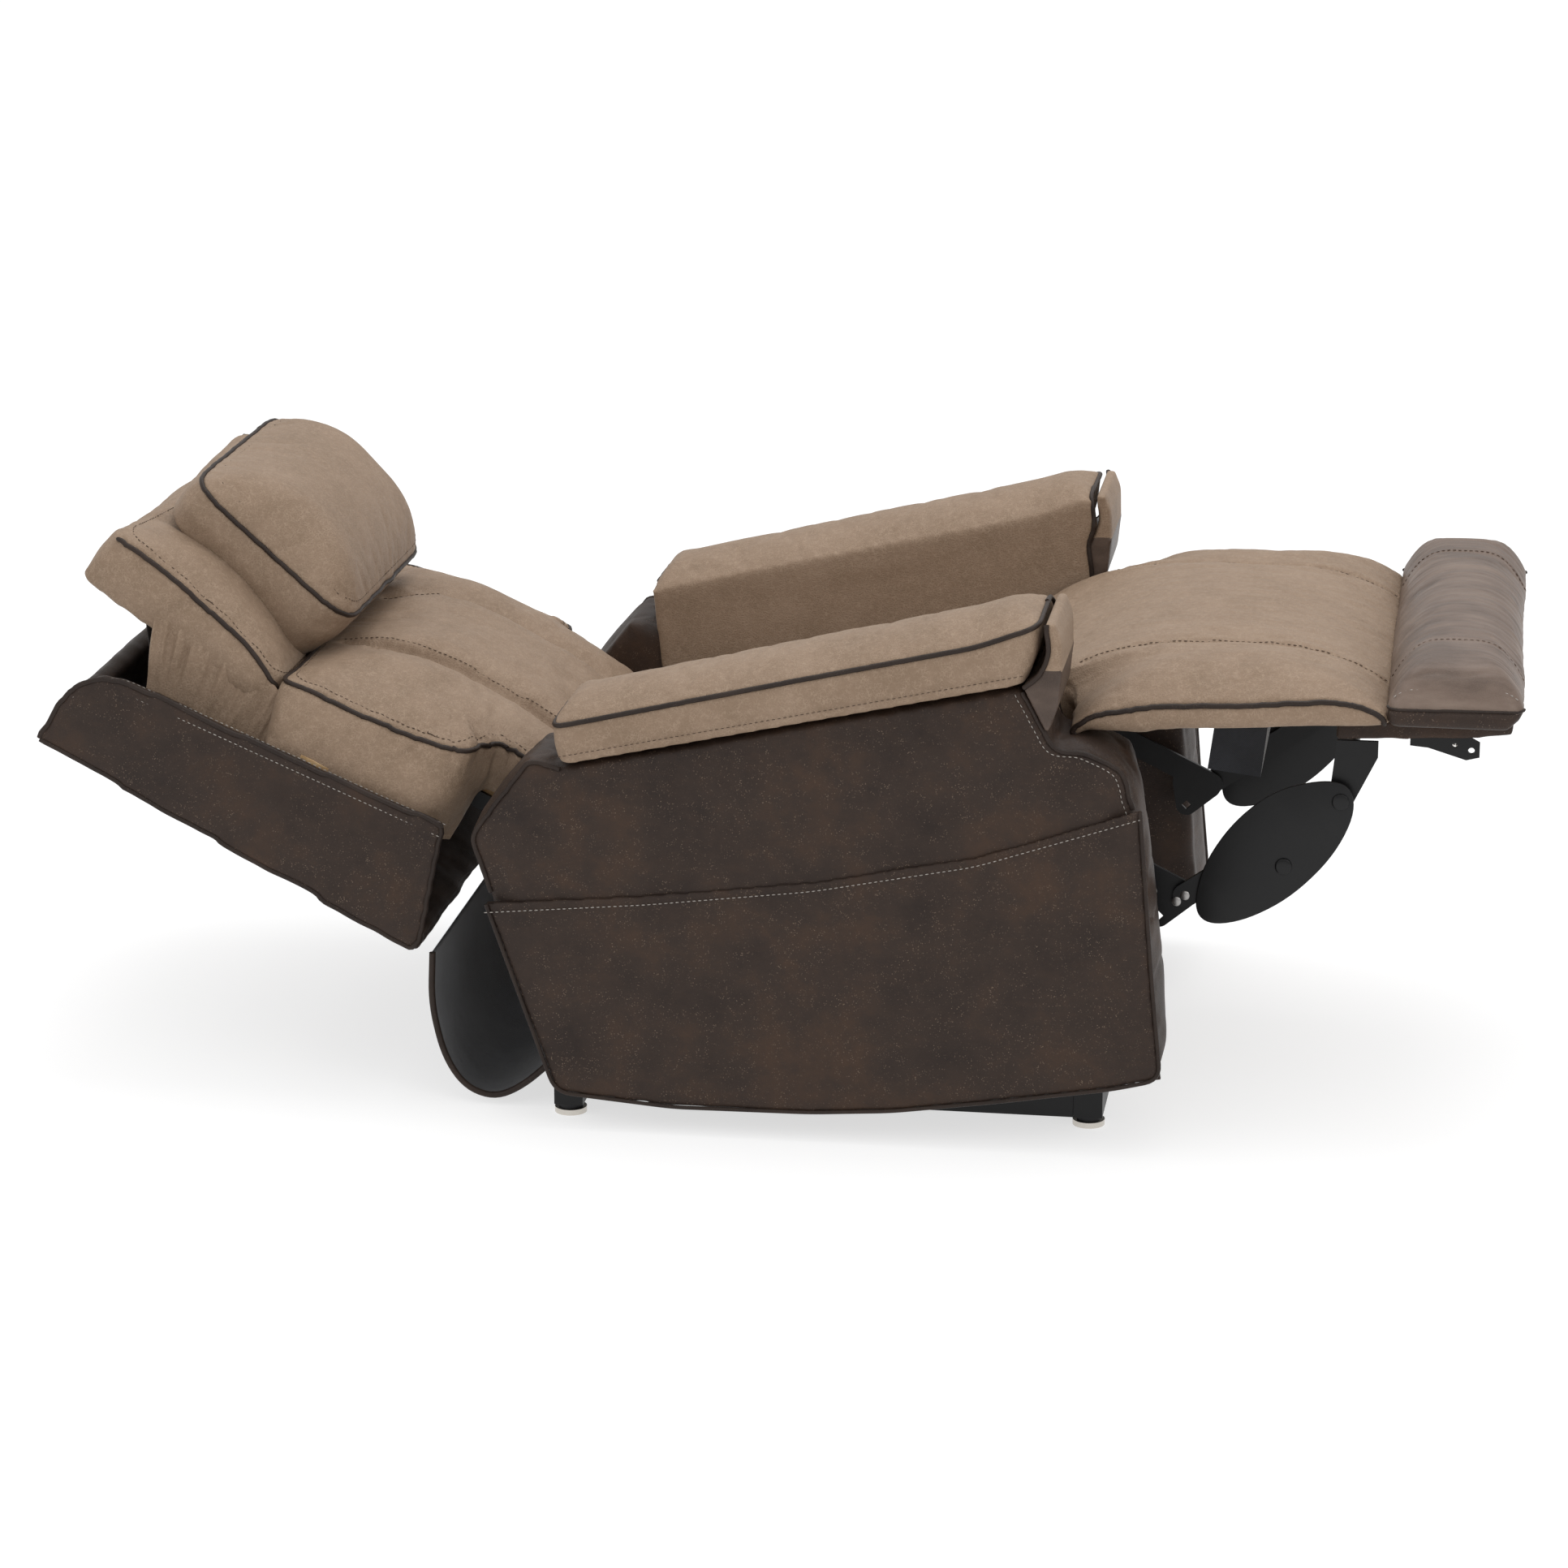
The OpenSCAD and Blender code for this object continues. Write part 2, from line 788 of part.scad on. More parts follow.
// each bolster is narrow between the arms and wide above them
module back_bolsters() {
  color(tan)
    back_place() {
      pair(cushion_split + fit, seat_half - 3)
        back_shape([[-15, cushion_heel], [46, cushion_heel], [48, 0], [wing_u - fit, 0], [wing_u - fit, 76],
                    [0, 80], [-15, 64]]);
      pair(cushion_split + fit, back_width / 2)
        back_shape([[wing_u, 0], [345, 0], [347, 36], [335, 52], [290, 66], [wing_u, 70]]);
    }
}

wing_u = 214;

// ---------- headrest ----------
head_stud = 4;
head_crank = [30, -50];

module headrest_frame() {
  y1 = back_rail_in - plate - fit;
  y2 = back_rail_in - fit;
  head_place() {
    color(timber) slab(-250, 250) back_shape([[8, -40], [250, -48], [250, -34], [8, -22]]);
    color(steel) {
      pair(y1, y2)
        hull() {
          dot([0, 0], 11);
          back_shape([[8, -21.7], [50, -23.7], [50, -12], [8, -10]]);
        }
      rod_pair([0, 0], head_stud, y1, back_rail_in + 15);
      for (y = [-24, 18])
        slab(y, y + 6)
          hull() {
            dot(head_crank, 9);
            back_shape([[10, -50], [40, -50], [40, -42], [10, -40.6]]);
          }
      rod(head_crank, head_tube, -24, 24);
    }
  }
}

head_tube = 5;

module headrest_pad() {
  t = head_length;
  color(tan)
    head_place()
      slab(-head_width / 2, head_width / 2)
        back_shape([[62, -24.1], [t - 46, -34.3], [t - 40, -54], [t - 12, -50], [t - 2, -20], [t, 6], [t - 20, 14],
                    [t - 90, 26], [100, 34], [66, 34], [52, 20], [52, 0]]);
}

module head_pillow() {
  q = 38;
  d = pillow_depth;
  color(tan)
    head_place()
      slab(-pillow_width / 2, pillow_width / 2)
        back_shape([[50, q - 2], [100, q - 3.5], [296, q - 9], [300, q + 50], [285, q + 76], [240, q + d * 0.92],
                    [180, q + d], [110, q + d * 0.96], [64, q + d * 0.8], [46, q + 60]]);
}

// ---------- drives ----------
// each drive is a motor tube on a trunnion, with a rod that slides in it and ends in an eye
module motor(a, b, yc, body, bore_from, r, can) {
  along(a, b, yc) {
    difference() {
      union() {
        translate([20, 0, 0]) rotate([0, 90, 0]) cylinder(r = r, h = body - 20);
        rotate([0, 90, 0]) cylinder(r = r * 0.6, h = 30);
        translate([45, 0, can * (r + 8)]) cylinder(r = r + 3, h = 20, center = true);
      }
      translate([bore_from, 0, 0]) rotate([0, 90, 0]) cylinder(r = rod_radius + fit, h = body);
    }
    rod([0, 0], r * 0.7, -lug_in + 1, lug_in - 1);
    rod([0, 0], trunnion_radius, -lug_out + 1, lug_out - 1);
  }
}

module drive_rod(a, b, yc, start, eye, half) {
  d = norm(b - a);
  along(a, b, yc) {
    translate([start, 0, 0]) rotate([0, 90, 0]) cylinder(r = rod_radius, h = d - start - eye - 1);
    difference() {
      rod([d, 0], eye + 5, -half, half);
      rod([d, 0], eye, -half - 1, half + 1);
    }
  }
}

rod_radius = 8;
lift_eye = driven_tube + 6.6;
foot_eye = driven_tube + 7.9;
back_eye = driven_tube + 6;
head_eye = head_tube + 1.2;

module lift_motor() {
  color(steel) motor(lift_motor_pivot, lift_eye_at, 0, 300, 60, 14, -1);
}

module lift_rod() {
  color(nickel) drive_rod(lift_motor_pivot, lift_eye_at, 0, 66, lift_eye, 12);
}

module footrest_motor() {
  color(steel) motor(foot_motor_pivot, foot_eye_at, lane, 320, 44, 17, -1);
}

module footrest_rod() {
  color(nickel) drive_rod(foot_motor_pivot, foot_eye_at, lane, 122, foot_eye, 12);
}

module back_motor() {
  color(steel) motor(back_motor_pivot, back_eye_at, -lane, 230, 44, 15, 1);
}

module back_rod() {
  color(nickel) drive_rod(back_motor_pivot, back_eye_at, -lane, 50, back_eye, 12);
}

module head_motor() {
  color(steel) back_place() motor(head_motor_pivot, head_eye_at, 0, 130, 34, 11, 1);
}

module head_rod() {
  color(nickel) back_place() drive_rod(head_motor_pivot, head_eye_at, 0, 60, head_eye, 12);
}

base_rails();
base_bar_front();
base_bar_rear();
base_brackets();
base_pins();
foot_cups();
foot_glides();
front_lift_link();
rear_lift_link();
side_plates();
carriage_tubes();
lift_brackets();
carriage_pins();
arm_brackets();
rear_rail();
front_rail();
seat_springs();
seat_cushion();
chaise_front();
arm_body_right();
arm_body_left();
arm_inner_panels();
arm_pad_right();
arm_pad_left();
arm_fronts();
pocket_sheet_right();
pocket_sheet_left();
pocket_welts();
rear_flap();
control_box();
footrest_pad();
footrest_bolster();
footrest_board();
end_board();
footrest_brackets();
mid_board();
end_brackets();
end_springs();
drive_link();
shield_link();
oval_shields();
back_panel();
back_wings();
back_top_rail();
back_frame();
back_brackets();
back_cushion();
back_bolsters();
headrest_frame();
headrest_pad();
head_pillow();
lift_motor();
lift_rod();
footrest_motor();
footrest_rod();
back_motor();
back_rod();
head_motor();
head_rod();
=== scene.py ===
# %% [markdown]
# # A lift recliner chair, dressed over its steel frame
# The imported model gives every bar, link and board in its true place, in metres, with +X to the
# feet and +Z up. The frame is loaded first and never changed. Upholstery, seams and small
# hardware are then made around it, and most pieces are told which body they move with.

# %% Load the frame
import math

import json
import bmesh
import bpy
import numpy as np
from mathutils.bvhtree import BVHTree
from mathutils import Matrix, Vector, kdtree, noise

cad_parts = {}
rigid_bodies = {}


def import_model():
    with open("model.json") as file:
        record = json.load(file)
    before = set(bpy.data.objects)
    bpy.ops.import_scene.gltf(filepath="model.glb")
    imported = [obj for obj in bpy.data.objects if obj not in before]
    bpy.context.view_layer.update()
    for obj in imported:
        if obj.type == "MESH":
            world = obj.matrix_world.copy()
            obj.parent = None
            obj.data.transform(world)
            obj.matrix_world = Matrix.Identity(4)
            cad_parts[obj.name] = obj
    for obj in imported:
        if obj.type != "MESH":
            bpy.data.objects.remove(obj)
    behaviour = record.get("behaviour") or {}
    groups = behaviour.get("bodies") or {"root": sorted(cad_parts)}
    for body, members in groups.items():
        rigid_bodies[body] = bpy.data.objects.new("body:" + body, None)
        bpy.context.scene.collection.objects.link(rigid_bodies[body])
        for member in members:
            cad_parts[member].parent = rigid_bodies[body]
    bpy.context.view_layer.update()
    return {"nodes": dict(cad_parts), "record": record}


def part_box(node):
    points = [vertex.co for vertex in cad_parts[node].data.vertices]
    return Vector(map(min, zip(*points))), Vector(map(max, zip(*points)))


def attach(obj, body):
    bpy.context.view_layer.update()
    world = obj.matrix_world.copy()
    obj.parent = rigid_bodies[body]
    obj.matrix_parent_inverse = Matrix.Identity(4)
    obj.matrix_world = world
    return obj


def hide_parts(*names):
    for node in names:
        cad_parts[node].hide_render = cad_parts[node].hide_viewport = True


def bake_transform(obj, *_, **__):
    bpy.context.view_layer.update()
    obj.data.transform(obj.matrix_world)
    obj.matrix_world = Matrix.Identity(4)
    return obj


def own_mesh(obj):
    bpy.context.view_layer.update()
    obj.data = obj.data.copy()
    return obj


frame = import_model()
record = frame["record"]

# %% [markdown]
# The back hinges on one pin and the headrest on another. Measuring along the back (u) and out of
# it (w) keeps a sloping cushion as easy to draw as a level one, so each soft piece is drawn in
# the plane of what it lies on and then placed.

# %% Places on the back and on the headrest
hinge = {joint["name"]: joint["pos_m"] for joint in record["behaviour"]["joints"] if "pos_m" in joint}
back_slope = math.radians(26)
head_slope = math.radians(48)


def sloped(origin, slope, along, across, out):
    x = origin[0] - along * math.cos(slope) + out * math.sin(slope)
    z = origin[2] + along * math.sin(slope) + out * math.cos(slope)
    return (x, across, z)


def on_back(u, y, w):
    return sloped(hinge["back"], back_slope, u, y, w)


def on_head(p, y, q):
    return sloped(hinge["headrest"], head_slope, p, y, q)


def on_seat(x, y, z):
    return (x, y, z)


seat_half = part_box("seat_cushion")[1].y
arm_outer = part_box("arm_pad_left")[1].y
arm_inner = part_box("arm_pad_left")[0].y
shell_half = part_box("back_panel")[1].y
print("seat half", round(seat_half, 4), "arm", round(arm_inner, 4), round(arm_outer, 4))

# %% [markdown]
# ## The camera
# A long lens from the right side, a little to the front and above, shows the chair almost in
# profile, so its proportions stay true.

# %% Camera
view_turn = math.radians(8.5)
view_lift = math.radians(16)
view_far = 6.3
look_at = Vector((-0.027, 0, 0.327))
camera_data = bpy.data.cameras.new("camera")
camera = bpy.data.objects.new("camera", camera_data)
bpy.context.scene.collection.objects.link(camera)
towards = Vector((math.sin(view_turn) * math.cos(view_lift), -math.cos(view_turn) * math.cos(view_lift),
    math.sin(view_lift)))
camera.location = look_at + towards * view_far
camera.rotation_euler = towards.to_track_quat("Z", "Y").to_euler()
camera_data.sensor_width = 36
LENS_MM = 111.8
camera_data.lens = LENS_MM
camera_data.clip_end = 200
bpy.context.scene.camera = camera
print("camera", [round(c, 3) for c in camera.location])

# %% [markdown]
# ## Writing shader maths as Python
# A procedural finish is arithmetic on a pattern. One small class wraps a socket, so that an
# expression such as 1 - mask adds its own Math nodes, and one method adds any other node.

# %% Finish maker


class Wire:
    def __init__(self, tree, socket):
        self.tree = tree
        self.socket = socket

    def math(self, operation, other=0.0, swapped=False):
        first, second = (other, self) if swapped else (self, other)
        return self.tree.make("ShaderNodeMath", {"operation": operation}, {0: first, 1: second})

    def __add__(self, other):
        return self.math("ADD", other)

    def __radd__(self, other):
        return self.math("ADD", other)

    def __sub__(self, other):
        return self.math("SUBTRACT", other)

    def __rsub__(self, other):
        return self.math("SUBTRACT", other, True)

    def __mul__(self, other):
        return self.math("MULTIPLY", other)

    def __rmul__(self, other):
        return self.math("MULTIPLY", other)

    def __pow__(self, other):
        return self.math("POWER", other)

    def above(self, low, high):
        return self.tree.make("ShaderNodeMapRange", {}, {"Value": self, "From Min": low, "From Max": high})


class Finish:
    def __init__(self, name, **base):
        self.material = bpy.data.materials.new(name)
        self.material.use_nodes = True
        self.nodes = self.material.node_tree.nodes
        self.links = self.material.node_tree.links
        self.shader = self.nodes["Principled BSDF"]
        self.place = self.make("ShaderNodeTexCoord", {}, {}, "Object")
        for socket, value in base.items():
            self.shader.inputs[socket.replace("_", " ")].default_value = value

    def make(self, kind, settings, sockets, output=0):
        node = self.nodes.new(kind)
        for name, value in settings.items():
            if name == "stops":
                ramp = node.color_ramp
                while len(ramp.elements) < len(value):
                    ramp.elements.new(0.5)
                for element, (position, colour) in zip(ramp.elements, value):
                    element.position = position
                    element.color = (*colour, 1)
            else:
                setattr(node, name, value)
        for name, value in sockets.items():
            if isinstance(value, Wire):
                self.links.new(value.socket, node.inputs[name])
            elif isinstance(value, tuple) and len(value) == 3 and node.inputs[name].type == "RGBA":
                node.inputs[name].default_value = (*value, 1)
            else:
                node.inputs[name].default_value = value
        return Wire(self, node.outputs[output])

    def stretched(self, x, y, z, turn=(0, 0, 0)):
        return self.make("ShaderNodeMapping", {}, {"Vector": self.place, "Scale": (x, y, z), "Rotation": turn})

    def noise(self, scale, detail=3.0, rough=0.55, place=None):
        return self.make("ShaderNodeTexNoise", {},
            {"Vector": place or self.place, "Scale": scale, "Detail": detail, "Roughness": rough})

    def cells(self, scale, feature="F1", place=None, output="Distance"):
        return self.make("ShaderNodeTexVoronoi", {"feature": feature},
            {"Vector": place or self.place, "Scale": scale}, output)

    def ramp(self, factor, *stops):
        return self.make("ShaderNodeValToRGB", {"stops": stops}, {"Fac": factor})

    def blend(self, factor, first, second, kind="MIX"):
        return self.make("ShaderNodeMix", {"data_type": "RGBA", "blend_type": kind},
            {0: factor, 6: first, 7: second}, 2)

    def bump(self, height, distance, strength=1.0, under=None):
        sockets = {"Height": height, "Distance": distance, "Strength": strength}
        if under:
            sockets["Normal"] = under
        return self.make("ShaderNodeBump", {}, sockets)

    def feed(self, **wires):
        for socket, wire in wires.items():
            self.links.new(wire.socket, self.shader.inputs[socket.replace("_", " ")])
        return self.material


def linear(red, green, blue):
    return tuple(((c / 255 + 0.055) / 1.055) ** 2.4 if c > 10 else c / 3294.6 for c in (red, green, blue))


print("finish maker ready")

# %% [markdown]
# ## Upholstery covers
# The tan cover is a soft pebbled leather look: small rounded grains with a paler net between
# them, over slow changes of tone. The brown cover is a distressed one, with warm worn patches
# and fine pale specks. Both keep their grain at its real size, about two millimetres.

# %% Tan cover


def pebbled(name, dark, middle, light, net, grain=290, shine=0.58):
    f = Finish(name, Roughness=shine, Specular_IOR_Level=0.22, Sheen_Weight=0.03, Sheen_Roughness=0.5)
    warp = f.make("ShaderNodeMix", {"data_type": "VECTOR"},
        {0: 0.012, 4: f.place, 5: f.make("ShaderNodeTexNoise", {}, {"Vector": f.place, "Scale": 90.0},
        "Color")}, 1)
    grains = f.cells(grain, "DISTANCE_TO_EDGE", warp)
    gap = 1 - grains.above(0.0, 0.16)
    slow = f.noise(5.5, 4, 0.6)
    cloud = f.noise(22, 5, 0.65)
    tone = f.ramp(slow * 0.6 + cloud * 0.4, (0.3, dark), (0.5, middle), (0.7, light))
    colour = f.blend(gap * 0.45 * f.noise(150, 3).above(0.36, 0.6), tone, net)
    height = grains.above(0.0, 0.3) * 0.7 + f.noise(grain * 0.5, 3) * 0.5
    normal = f.bump(height, 0.0005, 0.7, f.bump(cloud, 0.002, 0.3))
    rough = f.noise(70, 3) * 0.16 + gap * 0.1 + (shine - 0.1)
    return f.feed(Base_Color=colour, Roughness=rough, Normal=normal)


tan_cover = pebbled("tan_cover", linear(124, 104, 85), linear(134, 113, 94), linear(142, 121, 102),
    linear(168, 148, 128))
print("made", tan_cover.name)

# %% Brown distressed cover


def distressed(name, dark, middle, warm, speck, shine=0.5):
    f = Finish(name, Roughness=shine, Specular_IOR_Level=0.2)
    slow = f.noise(6.5, 6, 0.62)
    patches = f.noise(14, 7, 0.7)
    tone = f.ramp(slow * 0.45 + patches * 0.55, (0.36, dark), (0.5, middle), (0.68, warm))
    grains = f.cells(340, "DISTANCE_TO_EDGE")
    where = f.noise(170, 2).above(0.46, 0.6) * f.noise(30, 4, 0.6).above(0.36, 0.6)
    dots = (1 - f.cells(400).above(0.1, 0.34)) * where
    colour = f.blend(dots * 0.75, tone, speck)
    streaks = f.noise(1.0, 4, 0.6, f.stretched(26, 26, 90))
    colour = f.blend(streaks.above(0.5, 0.75) * 0.15, colour, warm)
    height = grains.above(0.0, 0.25) * 0.6 + f.noise(220, 3) * 0.5
    normal = f.bump(height, 0.00045, 0.6, f.bump(f.noise(30, 4), 0.002, 0.25))
    rough = patches * 0.18 + dots * 0.1 + (shine - 0.08)
    return f.feed(Base_Color=colour, Roughness=rough, Normal=normal)


brown_cover = distressed("brown_cover", linear(40, 31, 27), linear(51, 40, 34), linear(68, 50, 38),
    linear(128, 110, 94))
print("made", brown_cover.name)

# %% [markdown]
# ## The other finishes
# The ruched end roll is a smoother leather, worn in patches, whose tone follows its folds as painted shade in
# the troughs and painted highlight on the crests. Steel parts are black powder coat with a fine orange-peel
# skin, and the glides and pins are bright plated.

# %% Ruched roll, piping and threads


def worn_leather_with_painted_fold_shade(name, dark, middle, light):
    f = Finish(name, Roughness=0.42, Specular_IOR_Level=0.3)
    folds = f.noise(1.0, 5, 0.6, f.stretched(9, 46, 30))
    cloud = f.noise(9, 5, 0.6)
    # The fold noise also drives the bump, so this tone is painted shade in the fold troughs and painted
    # highlight on the fold crests, over the leather's own patchy tone from cloud.
    tone = f.ramp(folds * 0.55 + cloud * 0.45, (0.38, dark), (0.5, middle), (0.63, light))
    grains = f.cells(560, "DISTANCE_TO_EDGE").above(0.0, 0.25)
    colour = f.blend((1 - grains) * 0.25, tone, light)
    height = grains * 0.5 + folds * 0.6
    normal = f.bump(height, 0.00022, 0.45, f.bump(f.noise(1.0, 4, 0.6, f.stretched(14, 130, 60)), 0.0016, 0.35))
    return f.feed(Base_Color=colour, Roughness=folds * 0.2 + 0.34, Normal=normal)


def woven_thread(name, dark, light, shine=0.6):
    f = Finish(name, Roughness=shine, Specular_IOR_Level=0.3)
    twist = f.noise(1.0, 2, 0.5, f.stretched(900, 900, 900))
    colour = f.ramp(twist, (0.35, dark), (0.65, light))
    return f.feed(Base_Color=colour, Roughness=twist * 0.2 + (shine - 0.1), Normal=f.bump(twist, 0.0002, 0.5))


ruched_cover = worn_leather_with_painted_fold_shade("ruched_cover", linear(84, 70, 61), linear(104, 88, 78), linear(122, 106, 95))
smooth_brown = worn_leather_with_painted_fold_shade("smooth_brown", linear(60, 48, 41), linear(74, 61, 53), linear(92, 77, 68))
piping_skin = distressed("piping_skin", linear(34, 26, 23), linear(44, 35, 30), linear(54, 43, 37),
    linear(84, 70, 60), 0.45)
pale_thread = woven_thread("pale_thread", linear(128, 122, 116), linear(176, 170, 163))
dark_thread = woven_thread("dark_thread", linear(58, 44, 34), linear(82, 64, 50))
print("made", ruched_cover.name, smooth_brown.name, piping_skin.name, pale_thread.name, dark_thread.name)

# %% Steel, plating, plastic, timber and lining


def powder_coat(name, colour, shine, size=900):
    f = Finish(name, Roughness=shine, Specular_IOR_Level=0.3)
    peel = f.noise(size, 3, 0.5)
    dust = f.noise(18, 5, 0.7)
    tone = f.blend(dust.above(0.45, 0.8) * 0.35, colour, tuple(c * 1.9 + 0.006 for c in colour))
    return f.feed(Base_Color=tone, Roughness=dust * 0.18 + (shine - 0.08), Normal=f.bump(peel, 0.00012, 0.5))


def plated(name, colour, shine):
    f = Finish(name, Metallic=1.0, Roughness=shine)
    brushed = f.noise(1.0, 3, 0.6, f.stretched(300, 300, 2400))
    tone = f.blend(brushed * 0.4, colour, tuple(c * 0.7 for c in colour))
    return f.feed(Base_Color=tone, Roughness=brushed * 0.14 + (shine - 0.05),
        Normal=f.bump(brushed, 0.00005, 0.3))


def plywood(name):
    f = Finish(name, Roughness=0.62, Specular_IOR_Level=0.3)
    grain = f.noise(1.0, 5, 0.6, f.stretched(60, 7, 240))
    fleck = f.noise(1.0, 3, 0.6, f.stretched(400, 40, 600))
    tone = f.ramp(grain * 0.75 + fleck * 0.25, (0.36, linear(160, 124, 84)), (0.5, linear(188, 154, 110)),
        (0.66, linear(208, 178, 136)))
    return f.feed(Base_Color=tone, Roughness=fleck * 0.2 + 0.5, Normal=f.bump(fleck + grain, 0.0004, 0.4))


def lining_cloth(name, dark, light):
    f = Finish(name, Roughness=0.85, Specular_IOR_Level=0.2, Sheen_Weight=0.25, Sheen_Roughness=0.6)
    warp = f.make("ShaderNodeTexWave", {"wave_type": "BANDS", "bands_direction": "Y"},
        {"Vector": f.place, "Scale": 260.0, "Distortion": 0.4}, 1)
    weft = f.make("ShaderNodeTexWave", {"wave_type": "BANDS", "bands_direction": "DIAGONAL"},
        {"Vector": f.place, "Scale": 260.0, "Distortion": 0.4}, 1)
    weave = warp * 0.5 + weft * 0.5
    cloud = f.noise(12, 5, 0.6)
    tone = f.ramp(weave * 0.35 + cloud * 0.65, (0.35, dark), (0.7, light))
    return f.feed(Base_Color=tone, Roughness=cloud * 0.2 + 0.72,
        Normal=f.bump(weave, 0.0004, 0.5, f.bump(cloud, 0.004, 0.4)))


black_coat = powder_coat("black_coat", linear(13, 13, 14), 0.42)
black_gloss = powder_coat("black_gloss", linear(10, 10, 11), 0.3, 500)
black_plastic = powder_coat("black_plastic", linear(30, 30, 32), 0.5, 1500)
bright_plate = plated("bright_plate", (0.72, 0.68, 0.62), 0.22)
dull_plate = plated("dull_plate", (0.36, 0.35, 0.34), 0.34)
bare_timber = plywood("bare_timber")
black_cloth = lining_cloth("flap_cloth", linear(26, 27, 30), linear(52, 54, 60))
dark_lining = lining_cloth("dark_lining", linear(34, 28, 25), linear(58, 48, 43))
print("made", black_coat.name, bright_plate.name, bare_timber.name, black_cloth.name)

# %% [markdown]
# ## Finishes for the frame pieces
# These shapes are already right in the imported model, so each keeps its mesh and only gets its
# finish. Anything bright on a real mechanism is plated: pins, motor rods and glides.

# %% Dress the carried-over nodes
frame_finish = {
    "base_pins": dull_plate, "carriage_pins": dull_plate, "foot_glides": bright_plate,
    "end_springs": bright_plate,
    "lift_rod": bright_plate, "footrest_rod": bright_plate, "back_rod": bright_plate, "head_rod": bright_plate,
    "lift_motor": black_plastic, "footrest_motor": black_plastic, "back_motor": black_plastic,
    "head_motor": black_plastic,
    "control_box": black_plastic, "foot_cups": black_plastic, "oval_shields": black_coat,
    "mid_board": black_cloth,
    "front_rail": bare_timber, "rear_rail": bare_timber, "back_frame": bare_timber,
    "footrest_board": bare_timber,
    "seat_springs": dull_plate, "headrest_frame": bare_timber,
}
for node_name, node_object in frame["nodes"].items():
    finish = frame_finish.get(node_name, black_coat)
    if not node_object.material_slots:
        node_object.data.materials.append(finish)
    for material_slot in node_object.material_slots:
        material_slot.material = finish
print("dressed", len(frame["nodes"]), "nodes")

# %% [markdown]
# ## Making meshes
# A piece is drawn flat in its own place (along, across, out) and moved onto the chair at the end.
# These helpers make the object, round the corners of an outline, and sweep nothing: everything
# that follows a line, such as piping, is grown by Geometry Nodes further down.

# %% Mesh helpers


def piece_from(name, points, faces, finish, smooth=True):
    mesh = bpy.data.meshes.new(name)
    mesh.from_pydata([tuple(map(float, p)) for p in points], [], faces)
    mesh.update()
    mesh.materials.append(finish)
    if smooth:
        mesh.shade_smooth()
    piece = bpy.data.objects.new(name, mesh)
    bpy.context.scene.collection.objects.link(piece)
    return piece


def points_of(piece):
    found = np.empty(len(piece.data.vertices) * 3, np.float64)
    piece.data.vertices.foreach_get("co", found)
    return found.reshape(-1, 3)


def normals_of(piece):
    found = np.empty(len(piece.data.vertices) * 3, np.float32)
    piece.data.vertices.foreach_get("normal", found)
    return found.reshape(-1, 3).astype(float)


def move_points(piece, points):
    piece.data.vertices.foreach_set("co", np.ascontiguousarray(points, np.float32).ravel())
    piece.data.update()


def baked(piece):
    graph = bpy.context.evaluated_depsgraph_get()
    made = bpy.data.meshes.new_from_object(piece.evaluated_get(graph))
    piece.modifiers.clear()
    old = piece.data
    finishes = list(old.materials)
    piece.data = made
    made.name = piece.name
    if not made.materials:
        for finish in finishes:
            made.materials.append(finish)
    bpy.data.meshes.remove(old)
    return piece


def voxels(piece, size):
    remesh = piece.modifiers.new("even", "REMESH")
    remesh.mode = "VOXEL"
    remesh.voxel_size = size
    remesh.use_smooth_shade = True
    return baked(piece)


def finer(piece, levels=1):
    smooth = piece.modifiers.new("finer", "SUBSURF")
    smooth.levels = smooth.render_levels = levels
    return baked(piece)


def relax(piece, rounds, factor=0.5):
    smooth = piece.modifiers.new("relax", "SMOOTH")
    smooth.factor = factor
    smooth.iterations = rounds
    return baked(piece)


def rounded(corners, cut, spacing=0.006, closed=True):
    path = [Vector(c) for c in corners]
    dense = []
    count = len(path)
    for i, corner in enumerate(path):
        if not closed and i in (0, count - 1):
            dense.append(corner)
            continue
        before, after = path[i - 1], path[(i + 1) % count]
        start = corner + (before - corner).normalized() * min(cut, (before - corner).length * 0.48)
        end = corner + (after - corner).normalized() * min(cut, (after - corner).length * 0.48)
        for k in range(7):
            t = k / 6
            dense.append(start * (1 - t) ** 2 + corner * 2 * t * (1 - t) + end * t * t)
    if closed:
        dense.append(dense[0])
    even = [dense[0]]
    for here, there in zip(dense, dense[1:]):
        steps = max(1, round((there - here).length / spacing))
        even += [here.lerp(there, (k + 1) / steps) for k in range(steps)]
    return np.array([tuple(p) for p in (even[:-1] if closed else even)])


def both_sides(line):
    return line + [(a, -y, b) for a, y, b in reversed(line)]


def slab(name, outline, low, high, finish, size, soften=3):
    count = len(outline)
    points = [(a, low, b) for a, b in outline] + [(a, high, b) for a, b in outline]
    faces = [list(range(count)), list(range(2 * count - 1, count - 1, -1))]
    faces += [[i, i + count, (i + 1) % count + count, (i + 1) % count] for i in range(count)]
    piece = piece_from(name, points, faces, finish)
    form = bmesh.new()
    form.from_mesh(piece.data)
    bmesh.ops.recalc_face_normals(form, faces=form.faces)
    form.to_mesh(piece.data)
    form.free()
    return relax(voxels(piece, size), soften) if size else piece


def placed(piece, place):
    points = points_of(piece)
    zero, along, across, out = (np.array(place(*p)) for p in ((0, 0, 0), (1, 0, 0), (0, 1, 0), (0, 0, 1)))
    moved = zero + points[:, :1] * (along - zero) + points[:, 1:2] * (across - zero) + points[:,
        2:] * (out - zero)
    move_points(piece, moved)
    if place is not on_seat:
        piece.data.flip_normals()
    return piece


def mirrored(piece, name):
    twin = bpy.data.objects.new(name, piece.data.copy())
    bpy.context.scene.collection.objects.link(twin)
    move_points(twin, points_of(twin) * (1, -1, 1))
    twin.data.flip_normals()
    return twin


